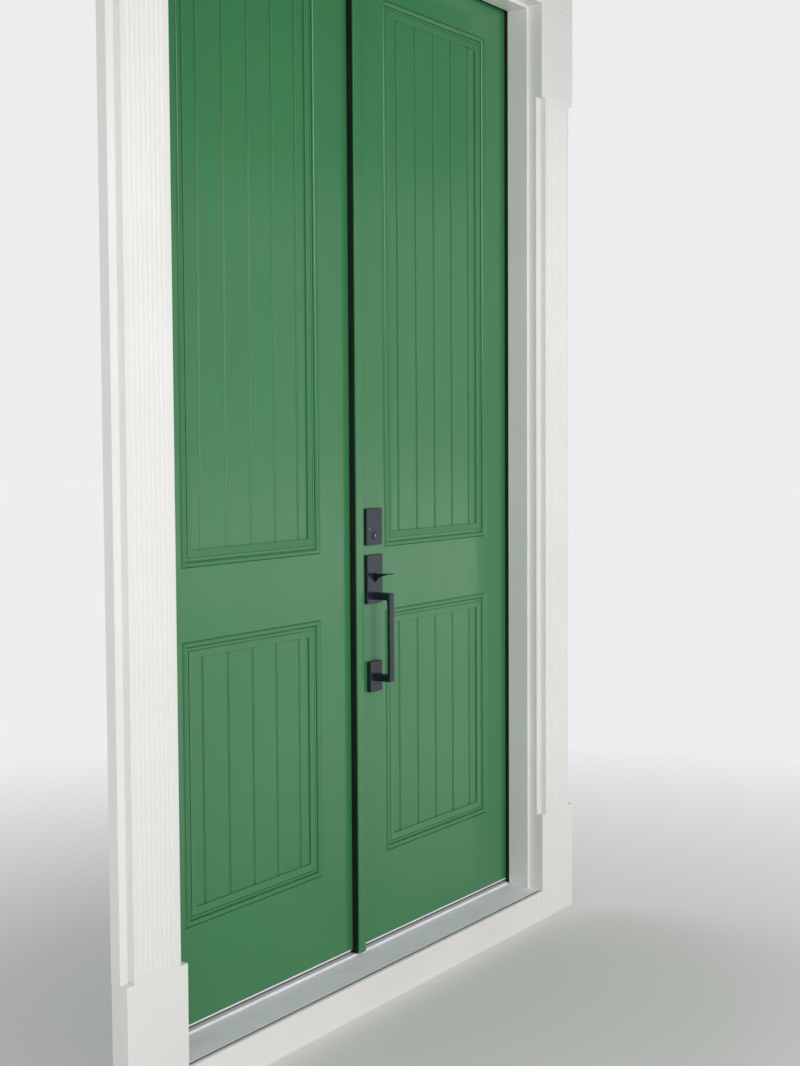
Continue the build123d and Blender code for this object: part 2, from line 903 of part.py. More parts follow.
with BuildPart() as deadbolt_plate:
    outside_plate(deadbolt_plate_width, deadbolt_plate_height, deadbolt_plate_thick, deadbolt_plate_foot)
    chamfer(deadbolt_plate.faces().sort_by(Axis.Y)[0].edges(), plate_bevel)
    cylinder_y(lock_x, deadbolt_z, key_collar_radius, -deadbolt_plate_thick - key_collar_proud, 0)
    collar_front = -deadbolt_plate_thick - key_collar_proud
    cylinder_y(lock_x, deadbolt_z, key_radius + pin_clear, collar_front, 0, Mode.SUBTRACT)
keep(deadbolt_plate, "deadbolt_plate")

with BuildPart() as key_plug:
    plug_front = -deadbolt_plate_thick - key_proud
    plug_back = plug_front + key_length
    cylinder_y(lock_x, deadbolt_z, key_radius, plug_front, plug_back)
    block(
        (lock_x - key_tail_wide / 2, plug_back, deadbolt_z - key_tail_thick / 2),
        (lock_x + key_tail_wide / 2, plug_back + key_tail_length, deadbolt_z + key_tail_thick / 2),
    )
    block(
        (lock_x - keyway_wide / 2, plug_front, deadbolt_z - keyway_tall / 2),
        (lock_x + keyway_wide / 2, plug_front + 6, deadbolt_z + keyway_tall / 2),
        Mode.SUBTRACT,
    )
keep(key_plug, "key_plug")

with BuildPart() as handle_plate:
    outside_plate(handle_plate_width, handle_plate_height, handle_plate_thick, handle_plate_foot)
    chamfer(handle_plate.faces().sort_by(Axis.Y)[0].edges(), plate_bevel)
    slot_half = lever_stem_width / 2 + lever_slot_clear
    block(
        (lock_x - slot_half, -handle_plate_thick, lever_z - lever_slot_height / 2),
        (lock_x + slot_half, 0, lever_z + lever_slot_height / 2),
        Mode.SUBTRACT,
    )
    with BuildSketch(Plane.YZ.offset(lock_x - slot_half - 1)):
        with Locations((lever_pivot_y, lever_z)):
            Circle(lever_pin_radius)
    extrude(amount=2 * slot_half + 2)
keep(handle_plate, "handle_plate")

with BuildPart() as lower_plate:
    outside_plate(lower_plate_width, lower_plate_height, lower_plate_thick, lower_plate_foot)
    chamfer(lower_plate.faces().sort_by(Axis.Y)[0].edges(), plate_bevel)
keep(lower_plate, "lower_plate")

with BuildPart() as grip:
    bar_back = grip_bar_thick - grip_reach
    with BuildSketch(Plane.YZ.offset(lock_x - grip_width / 2)):
        box_sketch((-grip_reach, grip_low), (bar_back, grip_high))
        box_sketch((-grip_reach, grip_low), (-lower_plate_thick, grip_low + grip_arm_height))
        box_sketch((-grip_reach, grip_high - grip_arm_height), (-handle_plate_thick, grip_high))
    extrude(amount=grip_width)
    inner = grip.edges().filter_by(Axis.X).group_by(Axis.Y)[1]
    fillet(inner, grip_inner_round)
    fillet(grip.faces().sort_by(Axis.Y)[0].edges(), grip_edge_round)
keep(grip, "grip")

with BuildPart() as thumb_lever:
    neck_y = -handle_plate_thick - 2
    half_thick = lever_thick / 2
    with BuildSketch(Plane.YZ.offset(lock_x - lever_width / 2)):
        with BuildLine():
            Polyline(
                (neck_y, lever_z + half_thick),
                (lever_tail, lever_z + half_thick),
                (lever_tail, lever_z - half_thick),
                (neck_y, lever_z - half_thick),
            )
            ThreePointArc(
                (neck_y, lever_z - half_thick),
                (-lever_reach * 0.6, lever_z - half_thick + lever_rise * 0.3),
                (-lever_reach, lever_z + lever_rise - 1),
            )
            Line((-lever_reach, lever_z + lever_rise - 1), (-lever_reach, lever_z + lever_rise))
            ThreePointArc(
                (-lever_reach, lever_z + lever_rise),
                (-lever_reach * 0.6, lever_z + half_thick + lever_rise * 0.25),
                (neck_y, lever_z + half_thick),
            )
        make_face()
    extrude(amount=lever_width)
    stem_half = lever_stem_width / 2
    paddle_half = lever_width / 2
    with BuildSketch(Plane.XY.offset(lever_z - 20)):
        with BuildLine():
            Polyline(
                (lock_x - paddle_half, paddle_half - lever_reach),
                (lock_x - paddle_half, neck_y - lever_neck),
                (lock_x - stem_half, neck_y),
                (lock_x - stem_half, lever_tail),
                (lock_x + stem_half, lever_tail),
                (lock_x + stem_half, neck_y),
                (lock_x + paddle_half, neck_y - lever_neck),
                (lock_x + paddle_half, paddle_half - lever_reach),
            )
            ThreePointArc(
                (lock_x + paddle_half, paddle_half - lever_reach),
                (lock_x, -lever_reach),
                (lock_x - paddle_half, paddle_half - lever_reach),
            )
        make_face()
    extrude(amount=40, mode=Mode.INTERSECT)
    with BuildSketch(Plane.YZ.offset(lock_x - fin_thick / 2)):
        with BuildLine():
            fin_back = neck_y - fin_gap
            Polyline(
                (fin_back - fin_length, lever_z),
                (fin_back, lever_z),
                (fin_back, lever_z - fin_drop / 2),
            )
            ThreePointArc(
                (fin_back, lever_z - fin_drop / 2),
                (fin_back - 4, lever_z - fin_drop * 0.75),
                (fin_back - 6, lever_z - fin_drop),
            )
            ThreePointArc(
                (fin_back - 6, lever_z - fin_drop),
                (fin_back - 13, lever_z - fin_drop * 0.45),
                (fin_back - fin_length, lever_z),
            )
        make_face()
    extrude(amount=fin_thick)
    for radius, mode in ((lever_hub_radius, Mode.ADD), (lever_pin_radius + pin_clear, Mode.SUBTRACT)):
        with BuildSketch(Plane.YZ.offset(lock_x - stem_half)) as hub:
            with Locations((lever_pivot_y, lever_z)):
                Circle(radius)
        extrude(amount=lever_stem_width, mode=mode)
keep(thumb_lever, "thumb_lever")


def lock_case(z, tall, wide):
    """A round case in the edge bore with its faceplate, open along its length for the bolt."""
    with BuildSketch(Plane.YZ.offset(leaf_inner)) as barrel:
        with Locations((leaf_mid_y, z)):
            Circle(case_radius)
    extrude(barrel.sketch, amount=case_length)
    block(
        (leaf_inner, leaf_mid_y - case_face_width / 2, z - case_face_height / 2),
        (leaf_inner + case_face_thick, leaf_mid_y + case_face_width / 2, z + case_face_height / 2),
    )
    with BuildSketch(Plane.YZ.offset(leaf_inner)) as channel:
        with Locations((leaf_mid_y, z)):
            Rectangle(wide + 2 * slide_clear, tall + 2 * slide_clear)
    extrude(channel.sketch, amount=deadbolt_long + 2, mode=Mode.SUBTRACT)
    cylinder_y(lock_x, z, spindle_hole, 0, leaf_thick, Mode.SUBTRACT)


with BuildPart() as lock_cases:
    lock_case(latch_z, latch_tall, latch_wide)
    lock_case(deadbolt_z, deadbolt_tall, deadbolt_wide)
keep(lock_cases, "lock_cases")

with BuildPart() as deadbolt:
    with BuildSketch(Plane.YZ.offset(leaf_inner)):
        with Locations((leaf_mid_y, deadbolt_z)):
            Rectangle(deadbolt_wide, deadbolt_tall)
    extrude(amount=deadbolt_long)
    fillet(deadbolt.faces().sort_by(Axis.X)[0].edges(), 1)
keep(deadbolt, "deadbolt")

with BuildPart() as latch_bolt:
    with BuildSketch(Plane.XY.offset(latch_z - latch_tall / 2)):
        with BuildLine():
            Polyline(
                (leaf_inner, leaf_mid_y - latch_wide / 2),
                (leaf_inner + latch_long, leaf_mid_y - latch_wide / 2),
                (leaf_inner + latch_long, leaf_mid_y + latch_wide / 2),
                (leaf_inner + latch_throw, leaf_mid_y + latch_wide / 2),
                (leaf_inner, leaf_mid_y - latch_wide / 2 + 2),
                close=True,
            )
        make_face()
    extrude(amount=latch_tall)
keep(latch_bolt, "latch_bolt")

with BuildPart() as inside_roses:
    for foot, height, width, hub_z in (
        (deadbolt_plate_foot, deadbolt_plate_height, deadbolt_plate_width, deadbolt_z),
        (handle_plate_foot, handle_plate_height, handle_plate_width, latch_z),
    ):
        block(
            (lock_x - width / 2, leaf_thick, foot),
            (lock_x + width / 2, leaf_thick + rose_thick, foot + height),
        )
        cylinder_y(
            lock_x,
            hub_z,
            spindle_hole,
            leaf_thick,
            leaf_thick + rose_thick,
            Mode.SUBTRACT,
        )
    chamfer(inside_roses.faces().group_by(Axis.Y)[-1].edges().filter_by(GeomType.LINE), plate_bevel)
keep(inside_roses, "inside_roses")

rose_face = leaf_thick + rose_thick + rose_gap
with BuildPart() as thumb_turn:
    block(
        (lock_x - spindle_square / 2, leaf_mid_y, deadbolt_z - spindle_square / 2),
        (lock_x + spindle_square / 2, rose_face, deadbolt_z + spindle_square / 2),
    )
    cylinder_y(lock_x, deadbolt_z, turn_height * 0.8, rose_face, rose_face + 4)
    with BuildSketch(Plane.XZ.offset(-rose_face - 4)):
        with Locations((lock_x, deadbolt_z)):
            SlotOverall(turn_width, turn_height)
    extrude(amount=-turn_depth)
keep(thumb_turn, "thumb_turn")

with BuildPart() as inside_knob:
    with BuildSketch(Plane.XY.offset(latch_z)):
        with BuildLine():
            neck_y = rose_face + knob_neck_length
            end_y = neck_y + knob_depth
            Polyline(
                (lock_x, rose_face),
                (lock_x + knob_neck_radius, rose_face),
                (lock_x + knob_neck_radius, neck_y),
                (lock_x + knob_radius, neck_y),
                (lock_x + knob_radius, end_y - knob_round),
                (lock_x + knob_radius - knob_round, end_y),
                (lock_x, end_y),
                close=True,
            )
        make_face()
    revolve(axis=Axis((lock_x, 0, latch_z), (0, 1, 0)))
    block(
        (lock_x - spindle_square / 2, leaf_mid_y, latch_z - spindle_square / 2),
        (lock_x + spindle_square / 2, rose_face, latch_z + spindle_square / 2),
    )
keep(inside_knob, "inside_knob")
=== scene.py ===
"""Double entry door with frame and fluted pilasters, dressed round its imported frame."""

import json
import math

import bmesh
import bpy
from bpy.props import FloatProperty, FloatVectorProperty, IntProperty, PointerProperty
from mathutils import Matrix, Vector


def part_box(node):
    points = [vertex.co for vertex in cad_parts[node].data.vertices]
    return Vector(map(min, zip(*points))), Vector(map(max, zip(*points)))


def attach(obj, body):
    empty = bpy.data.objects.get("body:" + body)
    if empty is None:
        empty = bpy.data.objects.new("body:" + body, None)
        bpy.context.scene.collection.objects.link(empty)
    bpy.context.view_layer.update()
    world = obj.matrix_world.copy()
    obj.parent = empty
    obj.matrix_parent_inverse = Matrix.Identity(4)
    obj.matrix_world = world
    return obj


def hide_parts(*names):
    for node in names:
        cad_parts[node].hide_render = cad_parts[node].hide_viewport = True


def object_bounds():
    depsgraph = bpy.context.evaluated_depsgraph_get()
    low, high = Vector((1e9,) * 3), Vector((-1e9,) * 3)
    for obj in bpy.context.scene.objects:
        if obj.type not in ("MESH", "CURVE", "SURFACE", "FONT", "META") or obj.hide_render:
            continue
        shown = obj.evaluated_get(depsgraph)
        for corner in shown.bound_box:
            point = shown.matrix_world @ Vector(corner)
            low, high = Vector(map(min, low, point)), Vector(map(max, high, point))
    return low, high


bl_info = {
    "name": "Double Entry Door",
    "version": (1, 0, 0),
    "blender": (4, 5, 0),
    "location": "View3D > Sidebar > Entry Door",
    "description": "Builds the visible pieces, finishes and studio of a double entry door",
    "category": "Object",
}

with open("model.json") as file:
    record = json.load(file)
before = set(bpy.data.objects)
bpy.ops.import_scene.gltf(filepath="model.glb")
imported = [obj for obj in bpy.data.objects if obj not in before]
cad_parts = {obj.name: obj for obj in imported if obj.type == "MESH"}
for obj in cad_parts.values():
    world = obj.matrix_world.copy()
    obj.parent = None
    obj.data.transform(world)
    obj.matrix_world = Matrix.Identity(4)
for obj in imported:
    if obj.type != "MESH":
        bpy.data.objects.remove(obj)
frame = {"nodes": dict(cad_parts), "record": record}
cad_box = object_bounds()

MM = 0.001
BODIES = frame["record"]["behaviour"]["bodies"]
BODY_OF = {node: body for body, nodes in BODIES.items() for node in nodes}
SIDES = (("left", -1), ("right", 1))
AIR_STRENGTH = 0.93


# Colours and nodes


def linear(code):
    """A linear colour from an sRGB hex value."""
    values = [int(code[i:i + 2], 16) / 255 for i in (0, 2, 4)]
    return [v / 12.92 if v <= 0.04045 else ((v + 0.055) / 1.055) ** 2.4 for v in values]


def add_node(tree, kind, inputs=None, **settings):
    """A node with its settings, its input values and its links."""
    node = tree.nodes.new(kind)
    for name, value in settings.items():
        setattr(node, name, value)
    for key, value in (inputs or {}).items():
        if isinstance(value, bpy.types.NodeSocket):
            tree.links.new(value, node.inputs[key])
        else:
            node.inputs[key].default_value = value
    return node


def new_material(name):
    """An empty node material with its shader and output."""
    material = bpy.data.materials.new(name)
    material.use_nodes = True
    tree = material.node_tree
    tree.nodes.clear()
    shader = add_node(tree, "ShaderNodeBsdfPrincipled")
    add_node(tree, "ShaderNodeOutputMaterial", {"Surface": shader.outputs[0]})
    place = add_node(tree, "ShaderNodeTexCoord").outputs["Object"]
    return material, tree, shader, place


def noise(tree, place, size, stretch=(1, 1, 1), detail=2.0, roughness=0.5):
    """Noise whose cells are about size metres across, longer by stretch along each axis."""
    mapping = add_node(tree, "ShaderNodeMapping", {
        "Vector": place,
        "Scale": [1 / (size * share) for share in stretch],
    })
    return add_node(tree, "ShaderNodeTexNoise", {
        "Vector": mapping.outputs[0],
        "Scale": 1.0,
        "Detail": detail,
        "Roughness": roughness,
    }).outputs[0]


def ramp(tree, value, low, high, start, end):
    """A value moved from one range to another, held at its ends."""
    return add_node(tree, "ShaderNodeMapRange", {
        "Value": value,
        "From Min": low,
        "From Max": high,
        "To Min": start,
        "To Max": end,
    }).outputs[0]


def mixed(tree, factor, first, second):
    """A colour between two colours."""
    node = add_node(tree, "ShaderNodeMix", {0: factor, 6: first, 7: second}, data_type="RGBA")
    return node.outputs[2]


def bumped(tree, shader, heights):
    """Bumps from pairs of height socket and depth in metres, the broadest first."""
    normal = None
    for height, depth in heights:
        inputs = {"Height": height, "Strength": 1.0, "Distance": depth}
        if normal is not None:
            inputs["Normal"] = normal
        normal = add_node(tree, "ShaderNodeBump", inputs).outputs[0]
    tree.links.new(normal, shader.inputs["Normal"])


def rgba(colour, share=1.0):
    """A colour with full alpha, made darker or lighter by a share."""
    return (*[c * share for c in colour[:3]], 1.0)


def coat(tree, shader, tint, sheen, bumps, metallic=0.0):
    """Give a shader its colour, its roughness and its bumps."""
    tree.links.new(tint, shader.inputs["Base Color"])
    tree.links.new(sheen, shader.inputs["Roughness"])
    shader.inputs["Metallic"].default_value = metallic
    bumped(tree, shader, bumps)


# Finishes


def trim_paint(name, colour, grain):
    """Satin acrylic house paint brushed on primed boards: a soft sheen, brush lines along the board.

    The brush lines are drawn about 4 mm apart, coarser than the real ones, so that they show.
    """
    material, tree, shader, place = new_material(name)
    stretch = [60.0 if axis == grain else 1.0 for axis in range(3)]
    lines = noise(tree, place, 4 * MM, stretch, detail=3.0)
    clouds = noise(tree, place, 350 * MM, detail=3.0)
    grime = noise(tree, place, 45 * MM, detail=4.0, roughness=0.65)
    tint = mixed(tree, ramp(tree, clouds, 0.35, 0.7, 0.0, 1.0), rgba(colour), rgba(colour, 0.955))
    worn = rgba([colour[0] * 0.95, colour[1] * 0.94, colour[2] * 0.91])
    tint = mixed(tree, ramp(tree, grime, 0.58, 0.75, 0.0, 0.5), tint, worn)
    sheen = ramp(tree, lines, 0.3, 0.7, 0.38, 0.50)
    coat(tree, shader, tint, sheen, [(clouds, 0.6 * MM), (lines, 0.015 * MM)])
    return material


def leaf_paint(name, colour):
    """Gloss enamel sprayed on smooth leaves: clear reflections, slightly rippled like fruit skin."""
    material, tree, shader, place = new_material(name)
    clouds = noise(tree, place, 500 * MM, detail=2.0)
    ripple = noise(tree, place, 60 * MM, (1, 1, 2.5), detail=1.5)
    peel = noise(tree, place, 3 * MM, detail=1.0)
    tint = mixed(tree, ramp(tree, clouds, 0.35, 0.7, 0.0, 1.0), rgba(colour), rgba(colour, 0.93))
    sheen = ramp(tree, ripple, 0.3, 0.7, 0.15, 0.22)
    coat(tree, shader, tint, sheen, [(ripple, 0.12 * MM), (peel, 0.01 * MM)])
    return material


def seal_rubber(name, code, dusty, along):
    """Extruded rubber: matt, with faint lines along its length and a little dust."""
    material, tree, shader, place = new_material(name)
    stretch = [80 if axis == along else 1 for axis in range(3)]
    lines = noise(tree, place, 1.5 * MM, stretch, detail=2.0)
    dust = noise(tree, place, 20 * MM, detail=4.0)
    colours = rgba(linear(code)), rgba(linear(dusty))
    tint = mixed(tree, ramp(tree, dust, 0.5, 0.75, 0.0, 0.5), *colours)
    coat(tree, shader, tint, ramp(tree, lines, 0.3, 0.7, 0.62, 0.8), [(lines, 0.05 * MM)])
    return material


def coated_aluminium(name, code):
    """Powder-coated aluminium: an even low sheen with a fine orange-peel texture."""
    material, tree, shader, place = new_material(name)
    peel = noise(tree, place, 1.2 * MM, detail=2.0)
    dust = noise(tree, place, 60 * MM, detail=4.0)
    colours = rgba(linear(code)), rgba(linear("1B1E20"))
    tint = mixed(tree, ramp(tree, dust, 0.5, 0.8, 0.0, 0.6), *colours)
    coat(tree, shader, tint, ramp(tree, dust, 0.3, 0.8, 0.34, 0.5), [(peel, 0.02 * MM)])
    return material


def sill_metal(name, code):
    """Extruded and anodised aluminium: dull and pale, with drawing lines along it and tread scuffs.

    It is only a little metallic, because the anodised layer scatters light as a pale paint does.
    """
    material, tree, shader, place = new_material(name)
    lines = noise(tree, place, 1.5 * MM, (120, 1, 1), detail=3.0)
    scuffs = noise(tree, place, 30 * MM, (2.5, 1, 1), detail=5.0, roughness=0.7)
    base = linear(code)
    tint = mixed(tree, ramp(tree, scuffs, 0.45, 0.72, 0.0, 0.7), rgba(base), rgba(base, 0.86))
    sheen = ramp(tree, scuffs, 0.3, 0.75, 0.5, 0.66)
    coat(tree, shader, tint, sheen, [(lines, 0.05 * MM)], metallic=0.1)
    return material


def bare_metal(name, code, along, low, high):
    """Satin steel or bright aluminium: polished along one direction, with small changes of sheen."""
    material, tree, shader, place = new_material(name)
    stretch = [50.0 if axis == along else 1.0 for axis in range(3)]
    lines = noise(tree, place, 0.8 * MM, stretch, detail=3.0)
    smears = noise(tree, place, 25 * MM, detail=3.0)
    base = linear(code)
    tint = mixed(tree, ramp(tree, smears, 0.4, 0.7, 0.0, 0.5), rgba(base), rgba(base, 0.85))
    sheen = ramp(tree, lines, 0.3, 0.7, low, high)
    coat(tree, shader, tint, sheen, [(lines, 0.02 * MM)], metallic=1.0)
    return material


def black_hardware(name, colour):
    """Zinc castings with a black electrocoat: a bluish sheen on flat faces and a little wear."""
    material, tree, shader, place = new_material(name)
    peel = noise(tree, place, 1.5 * MM, detail=2.0)
    hands = noise(tree, place, 18 * MM, detail=4.0, roughness=0.6)
    tint = mixed(tree, ramp(tree, hands, 0.45, 0.75, 0.0, 0.6), rgba(colour), rgba(colour, 1.35))
    sheen = ramp(tree, hands, 0.3, 0.75, 0.2, 0.3)
    coat(tree, shader, tint, sheen, [(peel, 0.015 * MM)], metallic=0.45)
    return material


def floor_finish(name, colour, air):
    """Matt studio floor that glows a little far off, so that it fades into the pale air."""
    material, tree, shader, place = new_material(name)
    shader.inputs["Roughness"].default_value = 0.95
    shader.inputs["Specular IOR Level"].default_value = 0.1
    distance = add_node(tree, "ShaderNodeVectorMath", {0: place}, operation="LENGTH").outputs["Value"]
    far = ramp(tree, distance, 0.9, 3.4, 0.0, 1.0)
    tint = mixed(tree, far, rgba(colour), rgba(colour, 0.0))
    tree.links.new(tint, shader.inputs["Base Color"])
    shader.inputs["Emission Color"].default_value = rgba(air)
    tree.links.new(maths(tree, "MULTIPLY", far, AIR_STRENGTH), shader.inputs["Emission Strength"])
    return material


finishes = {}


# Meshes


def settings():
    """The values of the sidebar panel."""
    return bpy.context.scene.entry_door


def ease_edges(obj, width, segments, degrees, harden=True):
    """Round the edges of a piece that are sharper than an angle."""
    easing = obj.modifiers.new("Eased edges", "BEVEL")
    easing.width = width
    easing.segments = segments
    easing.limit_method = "ANGLE"
    easing.angle_limit = math.radians(degrees)
    easing.harden_normals = harden


def place_piece(obj, body, replaced=()):
    """Hang a finished piece on its body's empty, and hide the CAD pieces that it stands for."""
    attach(obj, body)
    if replaced:
        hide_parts(*replaced)
    return obj


def new_piece(name, mesh, material):
    """A scene object for a finished mesh."""
    mesh.name = name
    mesh.materials.clear()
    mesh.materials.append(material)
    obj = bpy.data.objects.new(name, mesh)
    bpy.context.scene.collection.objects.link(obj)
    return obj


def smooth_by_angle(mesh, degrees=32):
    """Shade smooth, with edges sharper than the angle kept crisp."""
    for polygon in mesh.polygons:
        polygon.use_smooth = True
    mesh.set_sharp_from_angle(angle=math.radians(degrees))


def coat_node(node, material):
    """Give a CAD piece its finish."""
    obj = frame["nodes"][node]
    if not obj.material_slots:
        obj.data.materials.append(material)
    for holder in obj.material_slots:
        holder.material = material
    return obj


def stand_in(piece, node):
    """Put a finished piece in the place of a CAD piece, on its body, and hide the CAD piece."""
    return place_piece(piece, BODY_OF[node], [node])


def eased_copy(node, material, radius=0.0, segments=3):
    """A copy of a CAD piece with joined faces and eased edges, in its place."""
    mesh = frame["nodes"][node].data.copy()
    work = bmesh.new()
    work.from_mesh(mesh)
    bmesh.ops.remove_doubles(work, verts=work.verts, dist=1e-6)
    bmesh.ops.dissolve_limit(work, angle_limit=math.radians(0.2), verts=work.verts, edges=work.edges)
    work.to_mesh(mesh)
    work.free()
    for name in ("sharp_edge", "custom_normal"):
        if name in mesh.attributes:
            mesh.attributes.remove(mesh.attributes[name])
    smooth_by_angle(mesh)
    obj = new_piece(f"{node}_finished", mesh, material)
    if radius:
        ease_edges(obj, radius, segments, 40)
    return stand_in(obj, node)


def move_points(mesh, chosen, x):
    """Move the points of a mesh that a test picks along X."""
    for vertex in mesh.vertices:
        if chosen(vertex.co):
            vertex.co.x += x


def join_rings(work, points, closed):
    """Faces between rings of points, joined all round where closed, else with end caps."""
    rings = [[work.verts.new(point) for point in ring] for ring in points]
    for first, second in zip(rings, rings[1:] + rings[:1] if closed else rings[1:]):
        for i in range(len(first)):
            j = (i + 1) % len(first)
            work.faces.new((first[i], first[j], second[j], second[i]))
    if not closed:
        work.faces.new(rings[0])
        work.faces.new(rings[-1])


def finished_mesh(name, work, degrees=32):
    """A mesh from what was worked on, with its faces outwards."""
    bmesh.ops.recalc_face_normals(work, faces=work.faces)
    mesh = bpy.data.meshes.new(name)
    work.to_mesh(mesh)
    work.free()
    smooth_by_angle(mesh, degrees)
    return mesh


def swept_mesh(name, profile, start, end):
    """A closed mesh with one profile of depth and height from end to end along X."""
    work = bmesh.new()
    join_rings(work, [[(x, y, z) for y, z in profile] for x in (start, end)], closed=False)
    return finished_mesh(name, work, 50)


def round_mesh(name, centre, radius, proud, sunk, half_height=None):
    """A low domed button facing -Y, stretched upwards where it has a half height."""
    work = bmesh.new()
    bmesh.ops.create_uvsphere(work, u_segments=24, v_segments=12, radius=1.0)
    work.transform(Matrix.Diagonal((radius, proud + sunk, half_height or radius, 1.0)))
    work.transform(Matrix.Translation(Vector(centre) + Vector((0, sunk, 0))))
    return finished_mesh(name, work, 180)


def ring_mesh(name, centre, outer, inner, depth):
    """A flat round ring with its first face at the centre's depth."""
    steps = 64
    turns = [2 * math.pi * i / steps for i in range(steps)]
    rings = [[
        Vector(centre) + Vector((radius * math.cos(turn), y, radius * math.sin(turn)))
        for turn in turns
    ] for radius, y in ((outer, 0.0), (outer, depth), (inner, depth), (inner, 0.0))]
    work = bmesh.new()
    join_rings(work, rings, closed=True)
    return finished_mesh(name, work)


# Geometry Nodes


def new_tree(name, inputs):
    """An empty geometry tree with named inputs, and its input and output nodes."""
    tree = bpy.data.node_groups.new(name, "GeometryNodeTree")
    for title, kind in inputs:
        tree.interface.new_socket(title, in_out="INPUT", socket_type=f"NodeSocket{kind}")
    tree.interface.new_socket("Geometry", in_out="OUTPUT", socket_type="NodeSocketGeometry")
    return tree, add_node(tree, "NodeGroupInput").outputs


def finish_tree(tree, geometry, material):
    """Realize what the tree made, give it its material and pass it out."""
    real = add_node(tree, "GeometryNodeRealizeInstances", {"Geometry": geometry})
    done = add_node(tree, "GeometryNodeSetMaterial", {"Geometry": real.outputs[0], "Material": material})
    add_node(tree, "NodeGroupOutput", {"Geometry": done.outputs[0]})


def maths(tree, operation, first, second=0.0):
    """One arithmetic step in a tree."""
    return add_node(tree, "ShaderNodeMath", {0: first, 1: second}, operation=operation).outputs[0]


def vector(tree, x=0.0, y=0.0, z=0.0):
    """A vector from three values."""
    return add_node(tree, "ShaderNodeCombineXYZ", {"X": x, "Y": y, "Z": z}).outputs[0]


def row(tree, count, pitch, y, z=0.0):
    """Points in a centred row along X."""
    span = maths(tree, "MULTIPLY", maths(tree, "SUBTRACT", count, 1.0), pitch)
    start = vector(tree, maths(tree, "MULTIPLY", span, -0.5), y, z)
    return add_node(tree, "GeometryNodeMeshLine", {
        "Count": count,
        "Start Location": start,
        "Offset": vector(tree, pitch),
    }, mode="OFFSET").outputs[0]


def box_mesh(tree, given):
    """A board of the given width, thickness and height."""
    size = vector(tree, given["Width"], given["Thickness"], given["Height"])
    return add_node(tree, "GeometryNodeMeshCube", {"Size": size}).outputs[0]


def cut(tree, board, cutters, crossed=False):
    """A board with cutters taken out of it, which may cross each other."""
    return add_node(tree, "GeometryNodeMeshBoolean", {
        "Mesh 1": board,
        "Mesh 2": cutters,
        "Self Intersection": crossed,
    }, operation="DIFFERENCE", solver="EXACT").outputs[0]


def grooved_panel_tree():
    """A board with a row of V grooves on both faces, centred on the origin."""
    tree, given = new_tree("Grooved panel", [
        ("Width", "Float"), ("Thickness", "Float"), ("Height", "Float"), ("Groove pitch", "Float"),
        ("Groove depth", "Float"), ("Groove count", "Int"), ("Groove shift", "Float"),
        ("Finish", "Material"),
    ])
    overrun = 20 * MM
    groove_stretch = (0.9, 1.2, 1.0)
    side = maths(tree, "MULTIPLY", given["Groove depth"], math.sqrt(2))
    bar_size = vector(tree, side, side, maths(tree, "ADD", given["Height"], overrun))
    bar = add_node(tree, "GeometryNodeMeshCube", {"Size": bar_size}).outputs[0]
    turned = add_node(tree, "GeometryNodeTransform", {
        "Geometry": bar,
        "Rotation": (0, 0, math.radians(45)),
    })
    half = maths(tree, "MULTIPLY", given["Thickness"], 0.5)
    rows = add_node(tree, "GeometryNodeJoinGeometry")
    for y in (half, maths(tree, "MULTIPLY", half, -1.0)):
        tree.links.new(row(tree, given["Groove count"], given["Groove pitch"], y), rows.inputs[0])
    bars = add_node(tree, "GeometryNodeInstanceOnPoints", {
        "Points": rows.outputs[0],
        "Instance": turned.outputs[0],
        "Scale": groove_stretch,
    })
    shifted = add_node(tree, "GeometryNodeTransform", {
        "Geometry": bars.outputs[0],
        "Translation": vector(tree, given["Groove shift"]),
    })
    finish_tree(tree, cut(tree, box_mesh(tree, given), shifted.outputs[0]), given["Finish"])
    return tree


def fluted_board_tree():
    """A board with a row of round flutes on its front, each stopped with a round end."""
    tree, given = new_tree("Fluted board", [
        ("Width", "Float"), ("Thickness", "Float"), ("Height", "Float"), ("Flute pitch", "Float"),
        ("Flute radius", "Float"), ("Flute depth", "Float"), ("Flute length", "Float"),
        ("Flute count", "Int"), ("Finish", "Material"),
    ])
    ball = add_node(tree, "GeometryNodeMeshUVSphere", {
        "Segments": 48,
        "Rings": 17,
        "Radius": given["Flute radius"],
    }).outputs[0]
    position = add_node(tree, "GeometryNodeInputPosition").outputs[0]
    height = add_node(tree, "ShaderNodeSeparateXYZ", {0: position}).outputs["Z"]
    half_length = maths(tree, "MULTIPLY", given["Flute length"], 0.5)
    lift = vector(tree, z=maths(tree, "MULTIPLY", maths(tree, "SIGN", height), half_length))
    capsule = add_node(tree, "GeometryNodeSetPosition", {"Geometry": ball, "Offset": lift})
    front = maths(tree, "MULTIPLY", given["Thickness"], -0.5)
    bottom = maths(tree, "ADD", front, given["Flute depth"])
    axis = maths(tree, "SUBTRACT", bottom, given["Flute radius"])
    bars = add_node(tree, "GeometryNodeInstanceOnPoints", {
        "Points": row(tree, given["Flute count"], given["Flute pitch"], axis),
        "Instance": capsule.outputs[0],
    })
    finish_tree(tree, cut(tree, box_mesh(tree, given), bars.outputs[0]), given["Finish"])
    return tree


